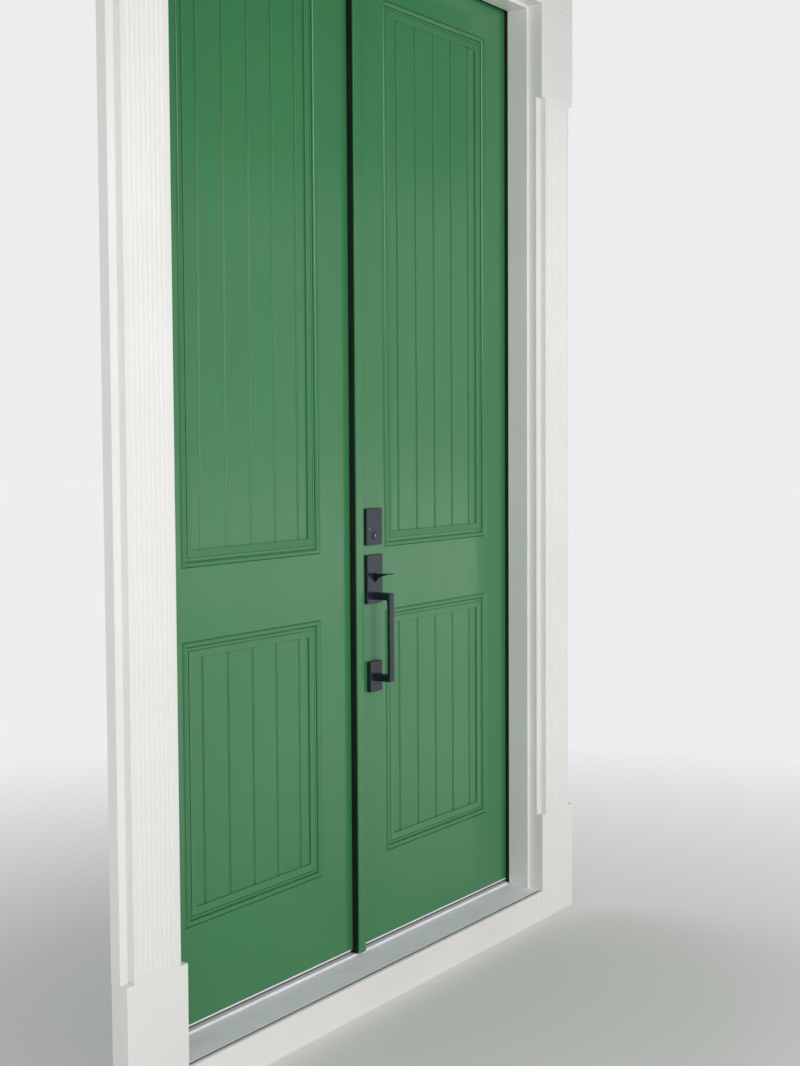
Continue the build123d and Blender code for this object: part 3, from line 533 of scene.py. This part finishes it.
def screw_tree():
    """A cross-slot countersunk screw head on every point of the mesh, turned to face one way."""
    tree, given = new_tree("Countersunk screws", [
        ("Points", "Geometry"), ("Head radius", "Float"), ("Head height", "Float"),
        ("Facing", "Vector"), ("Finish", "Material"),
    ])
    head = add_node(tree, "GeometryNodeMeshCone", {
        "Vertices": 28,
        "Radius Top": maths(tree, "MULTIPLY", given["Head radius"], 0.86),
        "Radius Bottom": given["Head radius"],
        "Depth": given["Head height"],
    }).outputs[0]
    slots = add_node(tree, "GeometryNodeJoinGeometry")
    long_side = maths(tree, "MULTIPLY", given["Head radius"], 1.1)
    short_side = maths(tree, "MULTIPLY", given["Head radius"], 0.24)
    for x, y in ((long_side, short_side), (short_side, long_side)):
        size = vector(tree, x, y, given["Head height"])
        blade = add_node(tree, "GeometryNodeMeshCube", {"Size": size})
        lifted = add_node(tree, "GeometryNodeTransform", {
            "Geometry": blade.outputs[0],
            "Translation": vector(tree, z=maths(tree, "MULTIPLY", given["Head height"], 0.8)),
        })
        tree.links.new(lifted.outputs[0], slots.inputs[0])
    slotted = cut(tree, head, slots.outputs[0], crossed=True)
    heads = add_node(tree, "GeometryNodeInstanceOnPoints", {
        "Points": given["Points"],
        "Instance": slotted,
        "Rotation": given["Facing"],
    })
    finish_tree(tree, heads.outputs[0], given["Finish"])
    return tree


def pin_cap_tree():
    """A low round cap on every point of the mesh, half sunk into the knuckle's end."""
    tree, given = new_tree("Hinge pin caps", [
        ("Points", "Geometry"), ("Cap radius", "Float"), ("Cap height", "Float"),
        ("Finish", "Material"),
    ])
    ball = add_node(tree, "GeometryNodeMeshUVSphere", {
        "Segments": 24,
        "Rings": 12,
        "Radius": given["Cap radius"],
    })
    squeeze = maths(tree, "DIVIDE", given["Cap height"], given["Cap radius"])
    caps = add_node(tree, "GeometryNodeInstanceOnPoints", {
        "Points": given["Points"],
        "Instance": ball.outputs[0],
        "Scale": vector(tree, 1.0, 1.0, squeeze),
    })
    finish_tree(tree, caps.outputs[0], given["Finish"])
    return tree


def grown_mesh(tree, values, points=()):
    """The plain mesh that a tree makes from the values and the points."""
    start = bpy.data.meshes.new(tree.name)
    start.from_pydata(list(points), [], [])
    holder = bpy.data.objects.new(tree.name, start)
    bpy.context.scene.collection.objects.link(holder)
    grower = holder.modifiers.new(tree.name, "NODES")
    grower.node_group = tree
    for item in tree.interface.items_tree:
        if item.in_out == "INPUT" and item.name in values:
            grower[item.identifier] = values[item.name]
    holder.update_tag()
    bpy.context.view_layer.update()
    evaluated = holder.evaluated_get(bpy.context.evaluated_depsgraph_get())
    mesh = bpy.data.meshes.new_from_object(evaluated)
    holder.modifiers.remove(grower)
    bpy.data.objects.remove(holder)
    if not mesh.polygons:
        raise RuntimeError(f"the tree {tree.name} made no faces")
    return mesh


def grown_board(node, tree, values, material):
    """A board that a tree makes in the size and place of a CAD piece."""
    low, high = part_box(node)
    size = high - low
    mesh = grown_mesh(tree, {
        "Width": size.x,
        "Thickness": size.y,
        "Height": size.z,
        "Finish": material,
        **values,
    })
    mesh.transform(Matrix.Translation((low + high) / 2))
    smooth_by_angle(mesh)
    return new_piece(f"{node}_finished", mesh, material)


# Settings


def measure(name, description, millimetres):
    """A size that the sidebar shows in the scene's unit."""
    return FloatProperty(
        name=name, description=description, unit="LENGTH", default=millimetres * MM)


def swatch(name, description, code):
    """A colour that the sidebar shows as a swatch."""
    return FloatVectorProperty(
        name=name, description=description, default=linear(code),
        subtype="COLOR", size=3, min=0, max=1)


class TrimSettings(bpy.types.PropertyGroup):
    """Painted frame and pilasters."""

    paint: swatch("Trim paint", "Colour of the frame, pilasters and head board", "ECEAE7")
    flute_count: IntProperty(
        name="Flutes", description="Flutes on each pilaster", default=8, min=1, max=20)
    flute_pitch: measure("Flute pitch", "Distance between flutes", 14.1)
    flute_width: measure("Flute width", "Width of a flute at the board's face", 11.0)
    flute_depth: measure("Flute depth", "Depth of a flute", 4.0)
    flute_stop: measure("Flute stop", "Plain board beyond each end of the flutes", 12.0)
    nosing_height: measure("Nosing height", "Height of the band along the apron's top", 10.0)
    nosing_proud: measure("Nosing", "How far the band stands before the apron's face", 2.0)


class LeafSettings(bpy.types.PropertyGroup):
    """Painted leaves."""

    paint: swatch("Leaf paint", "Colour of the leaves", "3B804F")
    groove_count: IntProperty(
        name="Grooves", description="Grooves on each panel", default=5, min=1, max=20)
    board_width: measure("Board width", "Distance between grooves", 88.9)
    groove_depth: measure("Groove depth", "Depth of a groove", 4.8)
    bead_proud: measure("Bead height", "Height of the bead above the leaf's face", 1.5)
    stile_margin: measure("Stile margin", "Plain strip between a stile and the moulding beside it", 12.0)
    left_panel_shift: measure("Left panel shift", "How far the left panels lie towards the middle", 6.0)
    meeting_shift: measure("Meeting edge shift", "How far the left edge lies towards the middle", 10.5)
    edge_radius: measure("Edge radius", "Rounding of sharp edges under the paint", 0.5)


class HardwareSettings(bpy.types.PropertyGroup):
    """Locks, hinges and seals."""

    coating: swatch("Hardware coating", "Colour of the handle set", "2B343C")
    screw_radius: measure("Screw head radius", "Radius of the hinge screws' heads", 4.2)
    screws_per_plate: IntProperty(
        name="Screws", description="Screws in each hinge plate", default=4, min=2, max=6)


class StageSettings(bpy.types.PropertyGroup):
    """Floor, light and camera."""

    floor: swatch("Floor", "Colour of the floor", "E9E8E6")
    air: swatch("Background", "Colour behind the door", "F4F5F6")
    fill: FloatProperty(
        name="Fill light", description="Strength of the light from all sides", default=0.48)
    key: FloatProperty(
        name="Key light", description="Power of the main lamp", unit="POWER", default=190.0)
    sheen: FloatProperty(
        name="Sheen light", description="Power of the lamp seen in the gloss paint", unit="POWER",
        default=9.0)
    lens: FloatProperty(
        name="Lens", description="Focal length of the camera", unit="CAMERA", default=75.58)


class DoorSettings(bpy.types.PropertyGroup):
    """All the groups of the door."""

    trim: PointerProperty(type=TrimSettings)
    leaf: PointerProperty(type=LeafSettings)
    hardware: PointerProperty(type=HardwareSettings)
    stage: PointerProperty(type=StageSettings)


# Operators


class ENTRYDOOR_OT_finishes(bpy.types.Operator):
    """Mix every paint, metal and rubber of the door."""

    bl_idname = "entry_door.finishes"
    bl_label = "Mix the finishes"

    def execute(self, context):
        """Fill the list of finishes."""
        values = settings()
        trim = values.trim.paint
        finishes["trim_upright"] = trim_paint("Satin acrylic on upright boards", trim, 2)
        finishes["trim_level"] = trim_paint("Satin acrylic on level boards", trim, 0)
        finishes["leaf"] = leaf_paint("Gloss enamel on the leaves", values.leaf.paint)
        finishes["rubber"] = seal_rubber("Extruded EPDM seal rubber", "0F1010", "26282A", 2)
        finishes["sweep"] = seal_rubber("Extruded grey vinyl sweep", "54585D", "6A6E72", 0)
        finishes["astragal"] = coated_aluminium("Black powder-coated aluminium", "0B0D0E")
        finishes["sill"] = sill_metal("Anodised sill aluminium", "F5F3FA")
        finishes["cap"] = sill_metal("Anodised threshold aluminium", "F4F4F6")
        finishes["steel"] = bare_metal("Satin stainless steel", "C4C5C7", 2, 0.22, 0.36)
        finishes["hardware"] = black_hardware("Black electrocoat on zinc", values.hardware.coating)
        return {"FINISHED"}


class ENTRYDOOR_OT_frame_boards(bpy.types.Operator):
    """Paint the jambs, blocks, boards and apron."""

    bl_idname = "entry_door.frame_boards"
    bl_label = "Frame boards"

    def execute(self, context):
        """Round the arrises of the boards, and shape the apron's nosing."""
        for hand, _ in SIDES:
            for title in ("jamb", "back_board", "plinth_block", "top_block"):
                eased_copy(f"{hand}_{title}", finishes["trim_upright"], radius=0.6 * MM, segments=2)
        for node in ("head_jamb", "head_board"):
            eased_copy(node, finishes["trim_level"], radius=0.6 * MM, segments=2)
        trim = settings().trim
        low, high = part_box("sill_apron")
        line = high.z - trim.nosing_height
        face = low.y + trim.nosing_proud
        profile = [
            (high.y, low.z),
            (face, low.z),
            (face, line - 3.0 * MM),
            (face + 1.8 * MM, line - 1.6 * MM),
            (face + 1.2 * MM, line),
            (low.y, line + 0.8 * MM),
            (low.y, high.z - 2.0 * MM),
            (low.y + 0.6 * MM, high.z - 0.6 * MM),
            (low.y + 2.0 * MM, high.z),
            (high.y, high.z),
        ]
        mesh = swept_mesh("sill_apron", profile, low.x, high.x)
        stand_in(new_piece("sill_apron_finished", mesh, finishes["trim_level"]), "sill_apron")
        return {"FINISHED"}


class ENTRYDOOR_OT_fluted_boards(bpy.types.Operator):
    """Make the two fluted boards of the pilasters."""

    bl_idname = "entry_door.fluted_boards"
    bl_label = "Fluted boards"

    def execute(self, context):
        """Grow each board in the place of its CAD piece."""
        trim = settings().trim
        tree = fluted_board_tree()
        half_width = trim.flute_width / 2
        radius = (half_width ** 2 + trim.flute_depth ** 2) / (2 * trim.flute_depth)
        for hand, _ in SIDES:
            node = f"{hand}_fluted_board"
            low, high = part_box(node)
            stand_in(grown_board(node, tree, {
                "Flute pitch": trim.flute_pitch,
                "Flute radius": radius,
                "Flute depth": trim.flute_depth,
                "Flute length": (high - low).z - 2 * trim.flute_stop - trim.flute_width,
                "Flute count": trim.flute_count,
            }, finishes["trim_upright"]), node)
        return {"FINISHED"}


class ENTRYDOOR_OT_leaves(bpy.types.Operator):
    """Paint the stiles and rails, and make the grooved panels."""

    bl_idname = "entry_door.leaves"
    bl_label = "Leaves and panels"

    def execute(self, context):
        """Coat the members and grow the four panels."""
        leaf = settings().leaf
        tree = grooved_panel_tree()
        for hand, _ in SIDES:
            for title in ("hinge_stile", "meeting_stile", "top_rail", "lock_rail", "bottom_rail"):
                if (hand, title) != ("left", "meeting_stile"):
                    coat_node(f"{hand}_{title}", finishes["leaf"])
            for title in ("upper_panel", "lower_panel"):
                node = f"{hand}_{title}"
                piece = grown_board(node, tree, {
                    "Groove pitch": leaf.board_width,
                    "Groove depth": leaf.groove_depth,
                    "Groove count": leaf.groove_count,
                    "Groove shift": leaf.left_panel_shift if hand == "left" else 0.0,
                }, finishes["leaf"])
                ease_edges(piece, leaf.edge_radius, 2, 30)
                stand_in(piece, node)
        stile = eased_copy("left_meeting_stile", finishes["leaf"])
        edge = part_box("left_meeting_stile")[1].x - 0.5 * MM
        move_points(stile.data, lambda co: co.x > edge, x=leaf.meeting_shift)
        return {"FINISHED"}


def moulding_profile(bead_proud):
    """Points across a moulding: distance from the opening's edge, height above the leaf."""
    recess = 8.0 * MM
    edge = 0.2 * MM
    bead = 12.0 * MM
    shoulder = -2.0 * MM
    points = [(0.0, -recess), (0.0, 0.0)]
    rise = bead_proud - shoulder
    radius = (bead ** 2 / 4 + rise ** 2) / (2 * rise)
    half = math.asin(bead / 2 / radius)
    steps = 12
    for i in range(steps + 1):
        turn = half * (2 * i / steps - 1)
        across = edge + bead / 2 + radius * math.sin(turn)
        points.append((across, bead_proud - radius * (1 - math.cos(turn))))
    quirks_and_fillet = (
        (12.0, -5.8), (14.2, -5.8), (14.2, -3.2), (14.6, -2.8), (19.4, -2.8),
        (19.8, -3.2), (19.8, -5.2), (21.5, -5.2), (21.5, -2.8), (21.9, -2.5),
    )
    points += [(edge + across * MM, rise * MM) for across, rise in quirks_and_fillet]
    return points + [(37.2 * MM, -4.4 * MM), (37.6 * MM, -4.9 * MM), (37.6 * MM, -recess)]


class ENTRYDOOR_OT_mouldings(bpy.types.Operator):
    """Make the mitred mouldings round the panels, outside and inside."""

    bl_idname = "entry_door.mouldings"
    bl_label = "Panel mouldings"

    def execute(self, context):
        """Draw each profile round its opening, past a plain margin that widens the stiles."""
        leaf = settings().leaf
        profile = moulding_profile(leaf.bead_proud)
        for hand, _ in SIDES:
            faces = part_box(f"{hand}_lock_rail")
            shift = leaf.left_panel_shift if hand == "left" else 0.0
            left_margin, right_margin = leaf.stile_margin + shift, leaf.stile_margin - shift
            for title in ("upper_mouldings", "lower_mouldings"):
                node = f"{hand}_{title}"
                low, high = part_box(node)
                gap = 0.2 * MM
                work = bmesh.new()
                for face_y, out in ((faces[0].y, -1), (faces[1].y, 1)):
                    rings = []
                    for i, (inset, rise) in enumerate(profile):
                        flush = i < 2
                        x0 = low.x - gap + inset + (0.0 if flush else left_margin)
                        x1 = high.x + gap - inset - (0.0 if flush else right_margin)
                        z0, z1 = low.z - gap + inset, high.z + gap - inset
                        corners = ((x0, z0), (x1, z0), (x1, z1), (x0, z1))
                        rings.append([(x, face_y + out * rise, z) for x, z in corners])
                    join_rings(work, rings, closed=True)
                mesh = finished_mesh(node, work, 25)
                stand_in(new_piece(f"{node}_finished", mesh, finishes["leaf"]), node)
        return {"FINISHED"}


class ENTRYDOOR_OT_astragal(bpy.types.Operator):
    """Finish the astragal: black post, painted cover strip and edge seal."""

    bl_idname = "entry_door.astragal"
    bl_label = "Astragal"

    def execute(self, context):
        """Coat the post and the strip, made as narrow as the meeting edges leave room for."""
        shift = settings().leaf.meeting_shift
        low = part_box("astragal_post")[0]
        post = eased_copy("astragal_post", finishes["astragal"])
        move_points(post.data, lambda co: co.x < low.x + 5.0 * MM, x=shift)
        cover = eased_copy("astragal_cover", finishes["leaf"])
        move_points(cover.data, lambda co: co.x < low.x + 14.0 * MM, x=shift)
        eased_copy("astragal_seal", finishes["rubber"])
        return {"FINISHED"}


class ENTRYDOOR_OT_seals(bpy.types.Operator):
    """Finish the seals on the stops and the sweeps under the leaves."""

    bl_idname = "entry_door.seals"
    bl_label = "Seals and sweeps"

    def execute(self, context):
        """Smooth the round noses."""
        eased_copy("frame_seals", finishes["rubber"])
        # A pale aluminium strip along the foot of each leaf's outer face: a painted highlight, standing
        # for the bright line on the leaf's bottom edge.
        strip_height = 3.6 * MM
        strip_proud = 0.8 * MM
        inset = 14.0 * MM
        for hand, side in SIDES:
            coat_node(f"{hand}_door_sweep", finishes["sweep"])
            low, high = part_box(f"{hand}_bottom_rail")
            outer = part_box(f"{hand}_hinge_stile")[1 if side > 0 else 0].x - side * inset
            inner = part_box(f"{hand}_meeting_stile")[0 if side > 0 else 1].x + side * 1.0 * MM
            profile = [
                (low.y, low.z + 0.2 * MM),
                (low.y - strip_proud, low.z + 0.2 * MM),
                (low.y - strip_proud, low.z + strip_height - 0.5 * MM),
                (low.y - strip_proud * 0.4, low.z + strip_height),
                (low.y, low.z + strip_height),
            ]
            mesh = swept_mesh(f"{hand}_foot_highlight_strip", profile, min(inner, outer), max(inner, outer))
            piece = new_piece(f"{hand}_foot_highlight_strip", mesh, finishes["cap"])
            place_piece(piece, f"{hand}_leaf")
        return {"FINISHED"}


class ENTRYDOOR_OT_threshold(bpy.types.Operator):
    """Finish the sill and the bright threshold strip."""

    bl_idname = "entry_door.threshold"
    bl_label = "Sill and threshold"

    def execute(self, context):
        """Coat the sill and the strip."""
        coat_node("sill", finishes["sill"])
        coat_node("threshold_cap", finishes["cap"])
        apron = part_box("sill_apron")
        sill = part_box("sill")
        # A dark grey bead over the sill's front lip, on the apron's top: painted shade, standing for the
        # shadow line under the lip.
        joint = 1.6 * MM
        profile = [
            (sill[0].y - joint, apron[1].z),
            (sill[0].y - joint * 0.4, apron[1].z + joint * 1.6),
            (sill[0].y, apron[1].z + joint * 2.0),
            (sill[0].y, apron[1].z),
        ]
        mesh = swept_mesh("sill_lip_shade_bead", profile, apron[0].x, apron[1].x)
        piece = new_piece("sill_lip_shade_bead", mesh, finishes["sweep"])
        place_piece(piece, "frame")
        return {"FINISHED"}


class ENTRYDOOR_OT_hinges(bpy.types.Operator):
    """Finish the hinges, their pins and screws."""

    bl_idname = "entry_door.hinges"
    bl_label = "Hinges and screws"

    def execute(self, context):
        """Smooth the knuckles and set the screws in rows on every plate."""
        for node in ("hinge_frame_plates", "left_hinge_plates", "right_hinge_plates"):
            eased_copy(node, finishes["steel"])
        hardware = settings().hardware
        tree = screw_tree()
        count = hardware.screws_per_plate
        feet = hinge_feet()
        plate_height = 101.6 * MM
        pin_x, pin_y = 778.0 * MM, 53.0 * MM
        first_share, span_share = 0.12, 0.76
        rows_y = (32.0 * MM, 20.0 * MM)
        ends = [z for foot in feet for z in (foot, foot + plate_height)]
        mesh = grown_mesh(pin_cap_tree(), {
            "Cap radius": 5.2 * MM,
            "Cap height": 2.2 * MM,
            "Finish": finishes["steel"],
        }, [(side * pin_x, pin_y, z) for _, side in SIDES for z in ends])
        smooth_by_angle(mesh)
        place_piece(new_piece("hinge_pin_caps", mesh, finishes["steel"]), "frame")
        for hand, side in SIDES:
            leaf_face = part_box(f"{hand}_hinge_stile")[1 if side > 0 else 0].x
            jamb_face = leaf_face + side * 3.0 * MM
            for body, x, facing, title in (
                (f"{hand}_leaf", leaf_face, side, f"{hand}_leaf_hinge_screws"),
                ("frame", jamb_face, -side, f"{hand}_jamb_hinge_screws"),
            ):
                points = []
                for foot in feet:
                    for i in range(count):
                        z = foot + plate_height * (first_share + span_share * i / (count - 1))
                        points.append((x, rows_y[i % 2], z))
                mesh = grown_mesh(tree, {
                    "Head radius": hardware.screw_radius,
                    "Head height": 0.4 * MM,
                    "Facing": (0.0, facing * math.radians(90), 0.0),
                    "Finish": finishes["steel"],
                }, points)
                place_piece(new_piece(title, mesh, finishes["steel"]), body)
        return {"FINISHED"}


def hinge_feet():
    """Heights of the hinges' lower ends, read from the leaf's plates."""
    heights = sorted({round(v.co.z, 4) for v in frame["nodes"]["right_hinge_plates"].data.vertices})
    feet = []
    for z in heights:
        if not feet or z - feet[-1] > 0.3:
            feet.append(z)
    return feet


class ENTRYDOOR_OT_lock_set(bpy.types.Operator):
    """Finish the handle set, knob, thumb turn, bolts and strikes."""

    bl_idname = "entry_door.lock_set"
    bl_label = "Lock set"

    def execute(self, context):
        """Round and coat the outside set, and polish the steel."""
        for node in ("deadbolt_plate", "handle_plate", "lower_plate", "grip", "inside_roses"):
            eased_copy(node, finishes["hardware"], radius=0.5 * MM)
        for node in ("thumb_turn", "inside_knob"):
            eased_copy(node, finishes["hardware"])
        eased_copy("key_plug", finishes["hardware"], radius=0.2 * MM, segments=2)
        for node in ("deadbolt", "latch_bolt"):
            eased_copy(node, finishes["steel"], radius=0.4 * MM, segments=2)
        for node in ("top_slide_bolt", "bottom_slide_bolt"):
            eased_copy(node, finishes["steel"])
        for node in ("lock_cases", "lock_strikes", "bolt_strikes"):
            coat_node(node, finishes["steel"])
        key_low, key_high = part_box("key_plug")
        lock_x, key_z = (key_low.x + key_high.x) / 2, (key_low.z + key_high.z) / 2
        for piece, replaced in ((self.thumb_blade(), ["thumb_lever"]), (self.thumb_fin(), ())):
            ease_edges(piece, 0.4 * MM, 2, 30, harden=False)
            place_piece(piece, BODY_OF["thumb_lever"], replaced)
        collar_proud = 1.6 * MM
        plate_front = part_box("deadbolt_plate")[0].y + collar_proud
        keyway_place = (lock_x, key_low.y, key_z)
        pin_place = (lock_x - 22.0 * MM, plate_front, key_z + 16.5 * MM)
        # The tall narrow steel dome on the key plug is partly the keyway's shutter and partly a painted
        # glint, sized to the bright glint at the keyway.
        for name, host, button in (
            ("keyway_glint_shutter", "key_plug", (keyway_place, 1.3 * MM, 0.7 * MM, 0.7 * MM, 4.4 * MM)),
            ("set_pin", "deadbolt_plate", (pin_place, 2.1 * MM, 0.5 * MM, 0.7 * MM)),
        ):
            piece = new_piece(name, round_mesh(name, *button), finishes["steel"])
            place_piece(piece, BODY_OF[host])
        leaf_low, leaf_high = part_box("right_lock_rail")
        bore_radius, tube_radius, cover_thick = 26.9 * MM, 12.0 * MM, 1.5 * MM
        for face, start, depth in (
            ("outside", leaf_low.y, cover_thick), ("inside", leaf_high.y, -cover_thick),
        ):
            name = f"{face}_bore_cover"
            ring = ring_mesh(name, (lock_x, start, key_z), bore_radius, tube_radius, depth)
            cover = new_piece(name, ring, finishes["leaf"])
            place_piece(cover, "right_leaf")
        return {"FINISHED"}

    def thumb_blade(self):
        """The thumb lever: a stem through the plate and a straight blade, round at its tip."""
        low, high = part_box("thumb_lever")
        middle, width = (low.x + high.x) / 2, (high.x - low.x) / 2
        stem_half, stem_thick = 5.5 * MM, 1.8 * MM
        stem_z = low.z + 10.0 * MM
        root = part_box("handle_plate")[0].y - 2.4 * MM
        shoulder = root - 15.0 * MM
        round_start = low.y + width
        stations = [
            (high.y, stem_half, -stem_thick, stem_thick),
            (root, stem_half, -stem_thick, stem_thick),
            (root - 0.4 * MM, stem_half, -stem_thick, 5.0 * MM),
            (shoulder, width, 0.8 * MM, 5.9 * MM),
            (round_start, width, 4.6 * MM, 7.4 * MM),
        ]
        steps = 8
        for i in range(1, steps + 1):
            turn = math.radians(88.0 * i / steps)
            stations.append((
                round_start - width * math.sin(turn), width * math.cos(turn),
                (4.6 + 1.6 * i / steps) * MM, (7.4 + 0.6 * i / steps) * MM,
            ))
        work = bmesh.new()
        join_rings(work, [[
            (middle + side * half, y, stem_z + rise)
            for side, rise in ((-1, bottom), (1, bottom), (1, top), (-1, top))
        ] for y, half, bottom, top in stations], closed=False)
        mesh = finished_mesh("thumb_lever", work)
        return new_piece("thumb_lever_finished", mesh, finishes["hardware"])

    def thumb_fin(self):
        """The curved fin under the thumb lever, deepest beside the plate."""
        low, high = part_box("thumb_lever")
        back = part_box("handle_plate")[0].y - 0.7 * MM
        length, depth = 27.0 * MM, 16.0 * MM
        top = low.z + 11.0 * MM
        steps = 14
        profile = [(back, top), (back, top - depth)]
        for i in range(steps + 1):
            share = i / steps
            profile.append((back - 1.4 * MM - length * share, top - depth * (1 - share) ** 2.1))
        profile.append((back - 1.4 * MM - length, top + 1.0 * MM))
        middle, half = (low.x + high.x) / 2, 2.3 * MM
        mesh = swept_mesh("thumb_lever_fin", profile, middle - half, middle + half)
        return new_piece("thumb_lever_fin", mesh, finishes["hardware"])


def sheet(name, xs, ys, z, material):
    """A flat level sheet."""
    (x0, x1), (y0, y1) = xs, ys
    mesh = bpy.data.meshes.new(name)
    mesh.from_pydata([(x0, y0, z), (x1, y0, z), (x1, y1, z), (x0, y1, z)], [], [(0, 1, 2, 3)])
    return new_piece(name, mesh, material)


def area_lamp(name, place, target, width, height, power):
    """A soft rectangular lamp aimed at a point."""
    lamp = bpy.data.lights.new(name, "AREA")
    lamp.shape = "RECTANGLE"
    lamp.size = width
    lamp.size_y = height
    lamp.energy = power
    obj = bpy.data.objects.new(name, lamp)
    obj.location = place
    obj.rotation_euler = (Vector(target) - Vector(place)).to_track_quat("-Z", "Y").to_euler()
    bpy.context.scene.collection.objects.link(obj)
    return obj


class ENTRYDOOR_OT_stage(bpy.types.Operator):
    """Lay the floor, hang the lamps and set up the camera."""

    bl_idname = "entry_door.stage"
    bl_label = "Stage"

    def execute(self, context):
        """Make everything that isn't part of the door."""
        stage = settings().stage
        scene = context.scene
        reach = 40.0
        paint = floor_finish("Matt studio floor", stage.floor, stage.air)
        sheet("studio_floor", (-reach, reach), (-reach, reach), cad_box[0].z, paint)
        card, _, shader, _ = new_material("Dark matt card")
        shader.inputs["Base Color"].default_value = rgba(linear("5A5C5A"))
        shader.inputs["Roughness"].default_value = 0.9
        overhead = sheet("overhead_card", (-2.4, 2.4), (-2.4, -0.3), 2.95, card)
        overhead.visible_camera = False
        area_lamp("Key lamp", (-0.6, -6.2, 3.2), (0, 0, 0.9), 3.5, 3.0, stage.key)
        area_lamp("Side lamp", (-5.5, -2.4, 1.6), (0, 0, 1.1), 2.5, 2.5, stage.key * 0.27)
        area_lamp("Sheen lamp", (4.2, -3.5, 1.5), (0, 0, 1.2), 3.0, 2.4, stage.sheen)
        area_lamp("Inside lamp", (0.5, 6.0, 3.5), (0, 0, 1.2), 4.0, 4.0, stage.key * 0.5)
        world = bpy.data.worlds.new("Studio air")
        world.use_nodes = True
        tree = world.node_tree
        tree.nodes.clear()
        rays = add_node(tree, "ShaderNodeLightPath").outputs
        lit = ramp(tree, rays["Is Glossy Ray"], 0.0, 1.0, stage.fill, stage.fill * 0.5)
        strength = add_node(tree, "ShaderNodeMapRange", {
            "Value": rays["Is Camera Ray"],
            "To Min": lit,
            "To Max": AIR_STRENGTH,
        }).outputs[0]
        air = add_node(tree, "ShaderNodeBackground", {"Color": rgba(stage.air), "Strength": strength})
        add_node(tree, "ShaderNodeOutputWorld", {"Surface": air.outputs[0]})
        scene.world = world
        camera = bpy.data.cameras.new("Door camera")
        camera.sensor_fit = "HORIZONTAL"
        camera.sensor_width = 36.0
        camera.lens = stage.lens
        camera.clip_start = 0.05
        camera.clip_end = 200.0
        eye = bpy.data.objects.new("Door camera", camera)
        stand = (-3.3839, -2.2909, 1.3137)
        yaw, pitch, roll = 1.0039, -0.0586, -0.0056
        flat = math.cos(pitch)
        ahead = Vector((math.sin(yaw) * flat, math.cos(yaw) * flat, math.sin(pitch)))
        level = Vector((math.cos(yaw), -math.sin(yaw), 0))
        upward = level.cross(ahead)
        right = level * math.cos(roll) + upward * math.sin(roll)
        top = upward * math.cos(roll) - level * math.sin(roll)
        eye.matrix_world = Matrix.Translation(stand) @ Matrix((
            (right.x, top.x, -ahead.x, 0),
            (right.y, top.y, -ahead.y, 0),
            (right.z, top.z, -ahead.z, 0),
            (0, 0, 0, 1),
        ))
        scene.collection.objects.link(eye)
        scene.camera = eye
        scene.view_settings.view_transform = "Standard"
        return {"FINISHED"}


class ENTRYDOOR_PT_sidebar(bpy.types.Panel):
    """The door's settings and steps."""

    bl_idname = "ENTRYDOOR_PT_sidebar"
    bl_label = "Entry Door"
    bl_space_type = "VIEW_3D"
    bl_region_type = "UI"
    bl_category = "Entry Door"

    def draw(self, context):
        """List the settings, then the steps."""
        values = settings()
        for title, group in (
            ("Trim", values.trim), ("Leaves", values.leaf),
            ("Hardware", values.hardware), ("Stage", values.stage),
        ):
            box = self.layout.box()
            box.label(text=title)
            for name in group.bl_rna.properties.keys():
                if name not in ("rna_type", "name"):
                    box.prop(group, name)
        for operator in OPERATORS:
            self.layout.operator(operator.bl_idname)


OPERATORS = (
    ENTRYDOOR_OT_finishes,
    ENTRYDOOR_OT_frame_boards,
    ENTRYDOOR_OT_fluted_boards,
    ENTRYDOOR_OT_leaves,
    ENTRYDOOR_OT_mouldings,
    ENTRYDOOR_OT_astragal,
    ENTRYDOOR_OT_seals,
    ENTRYDOOR_OT_threshold,
    ENTRYDOOR_OT_hinges,
    ENTRYDOOR_OT_lock_set,
    ENTRYDOOR_OT_stage,
)
GROUPS = (TrimSettings, LeafSettings, HardwareSettings, StageSettings, DoorSettings)


def register():
    """Register the settings, the steps and the panel."""
    for item in (*GROUPS, *OPERATORS, ENTRYDOOR_PT_sidebar):
        bpy.utils.register_class(item)
    bpy.types.Scene.entry_door = PointerProperty(type=DoorSettings)


def unregister():
    """Take everything out again."""
    del bpy.types.Scene.entry_door
    for item in reversed((*GROUPS, *OPERATORS, ENTRYDOOR_PT_sidebar)):
        bpy.utils.unregister_class(item)


def main():
    """Build the door step by step."""
    register()
    for operator in OPERATORS:
        group, name = operator.bl_idname.split(".")
        getattr(getattr(bpy.ops, group), name)()


if __name__ == "__main__":
    main()
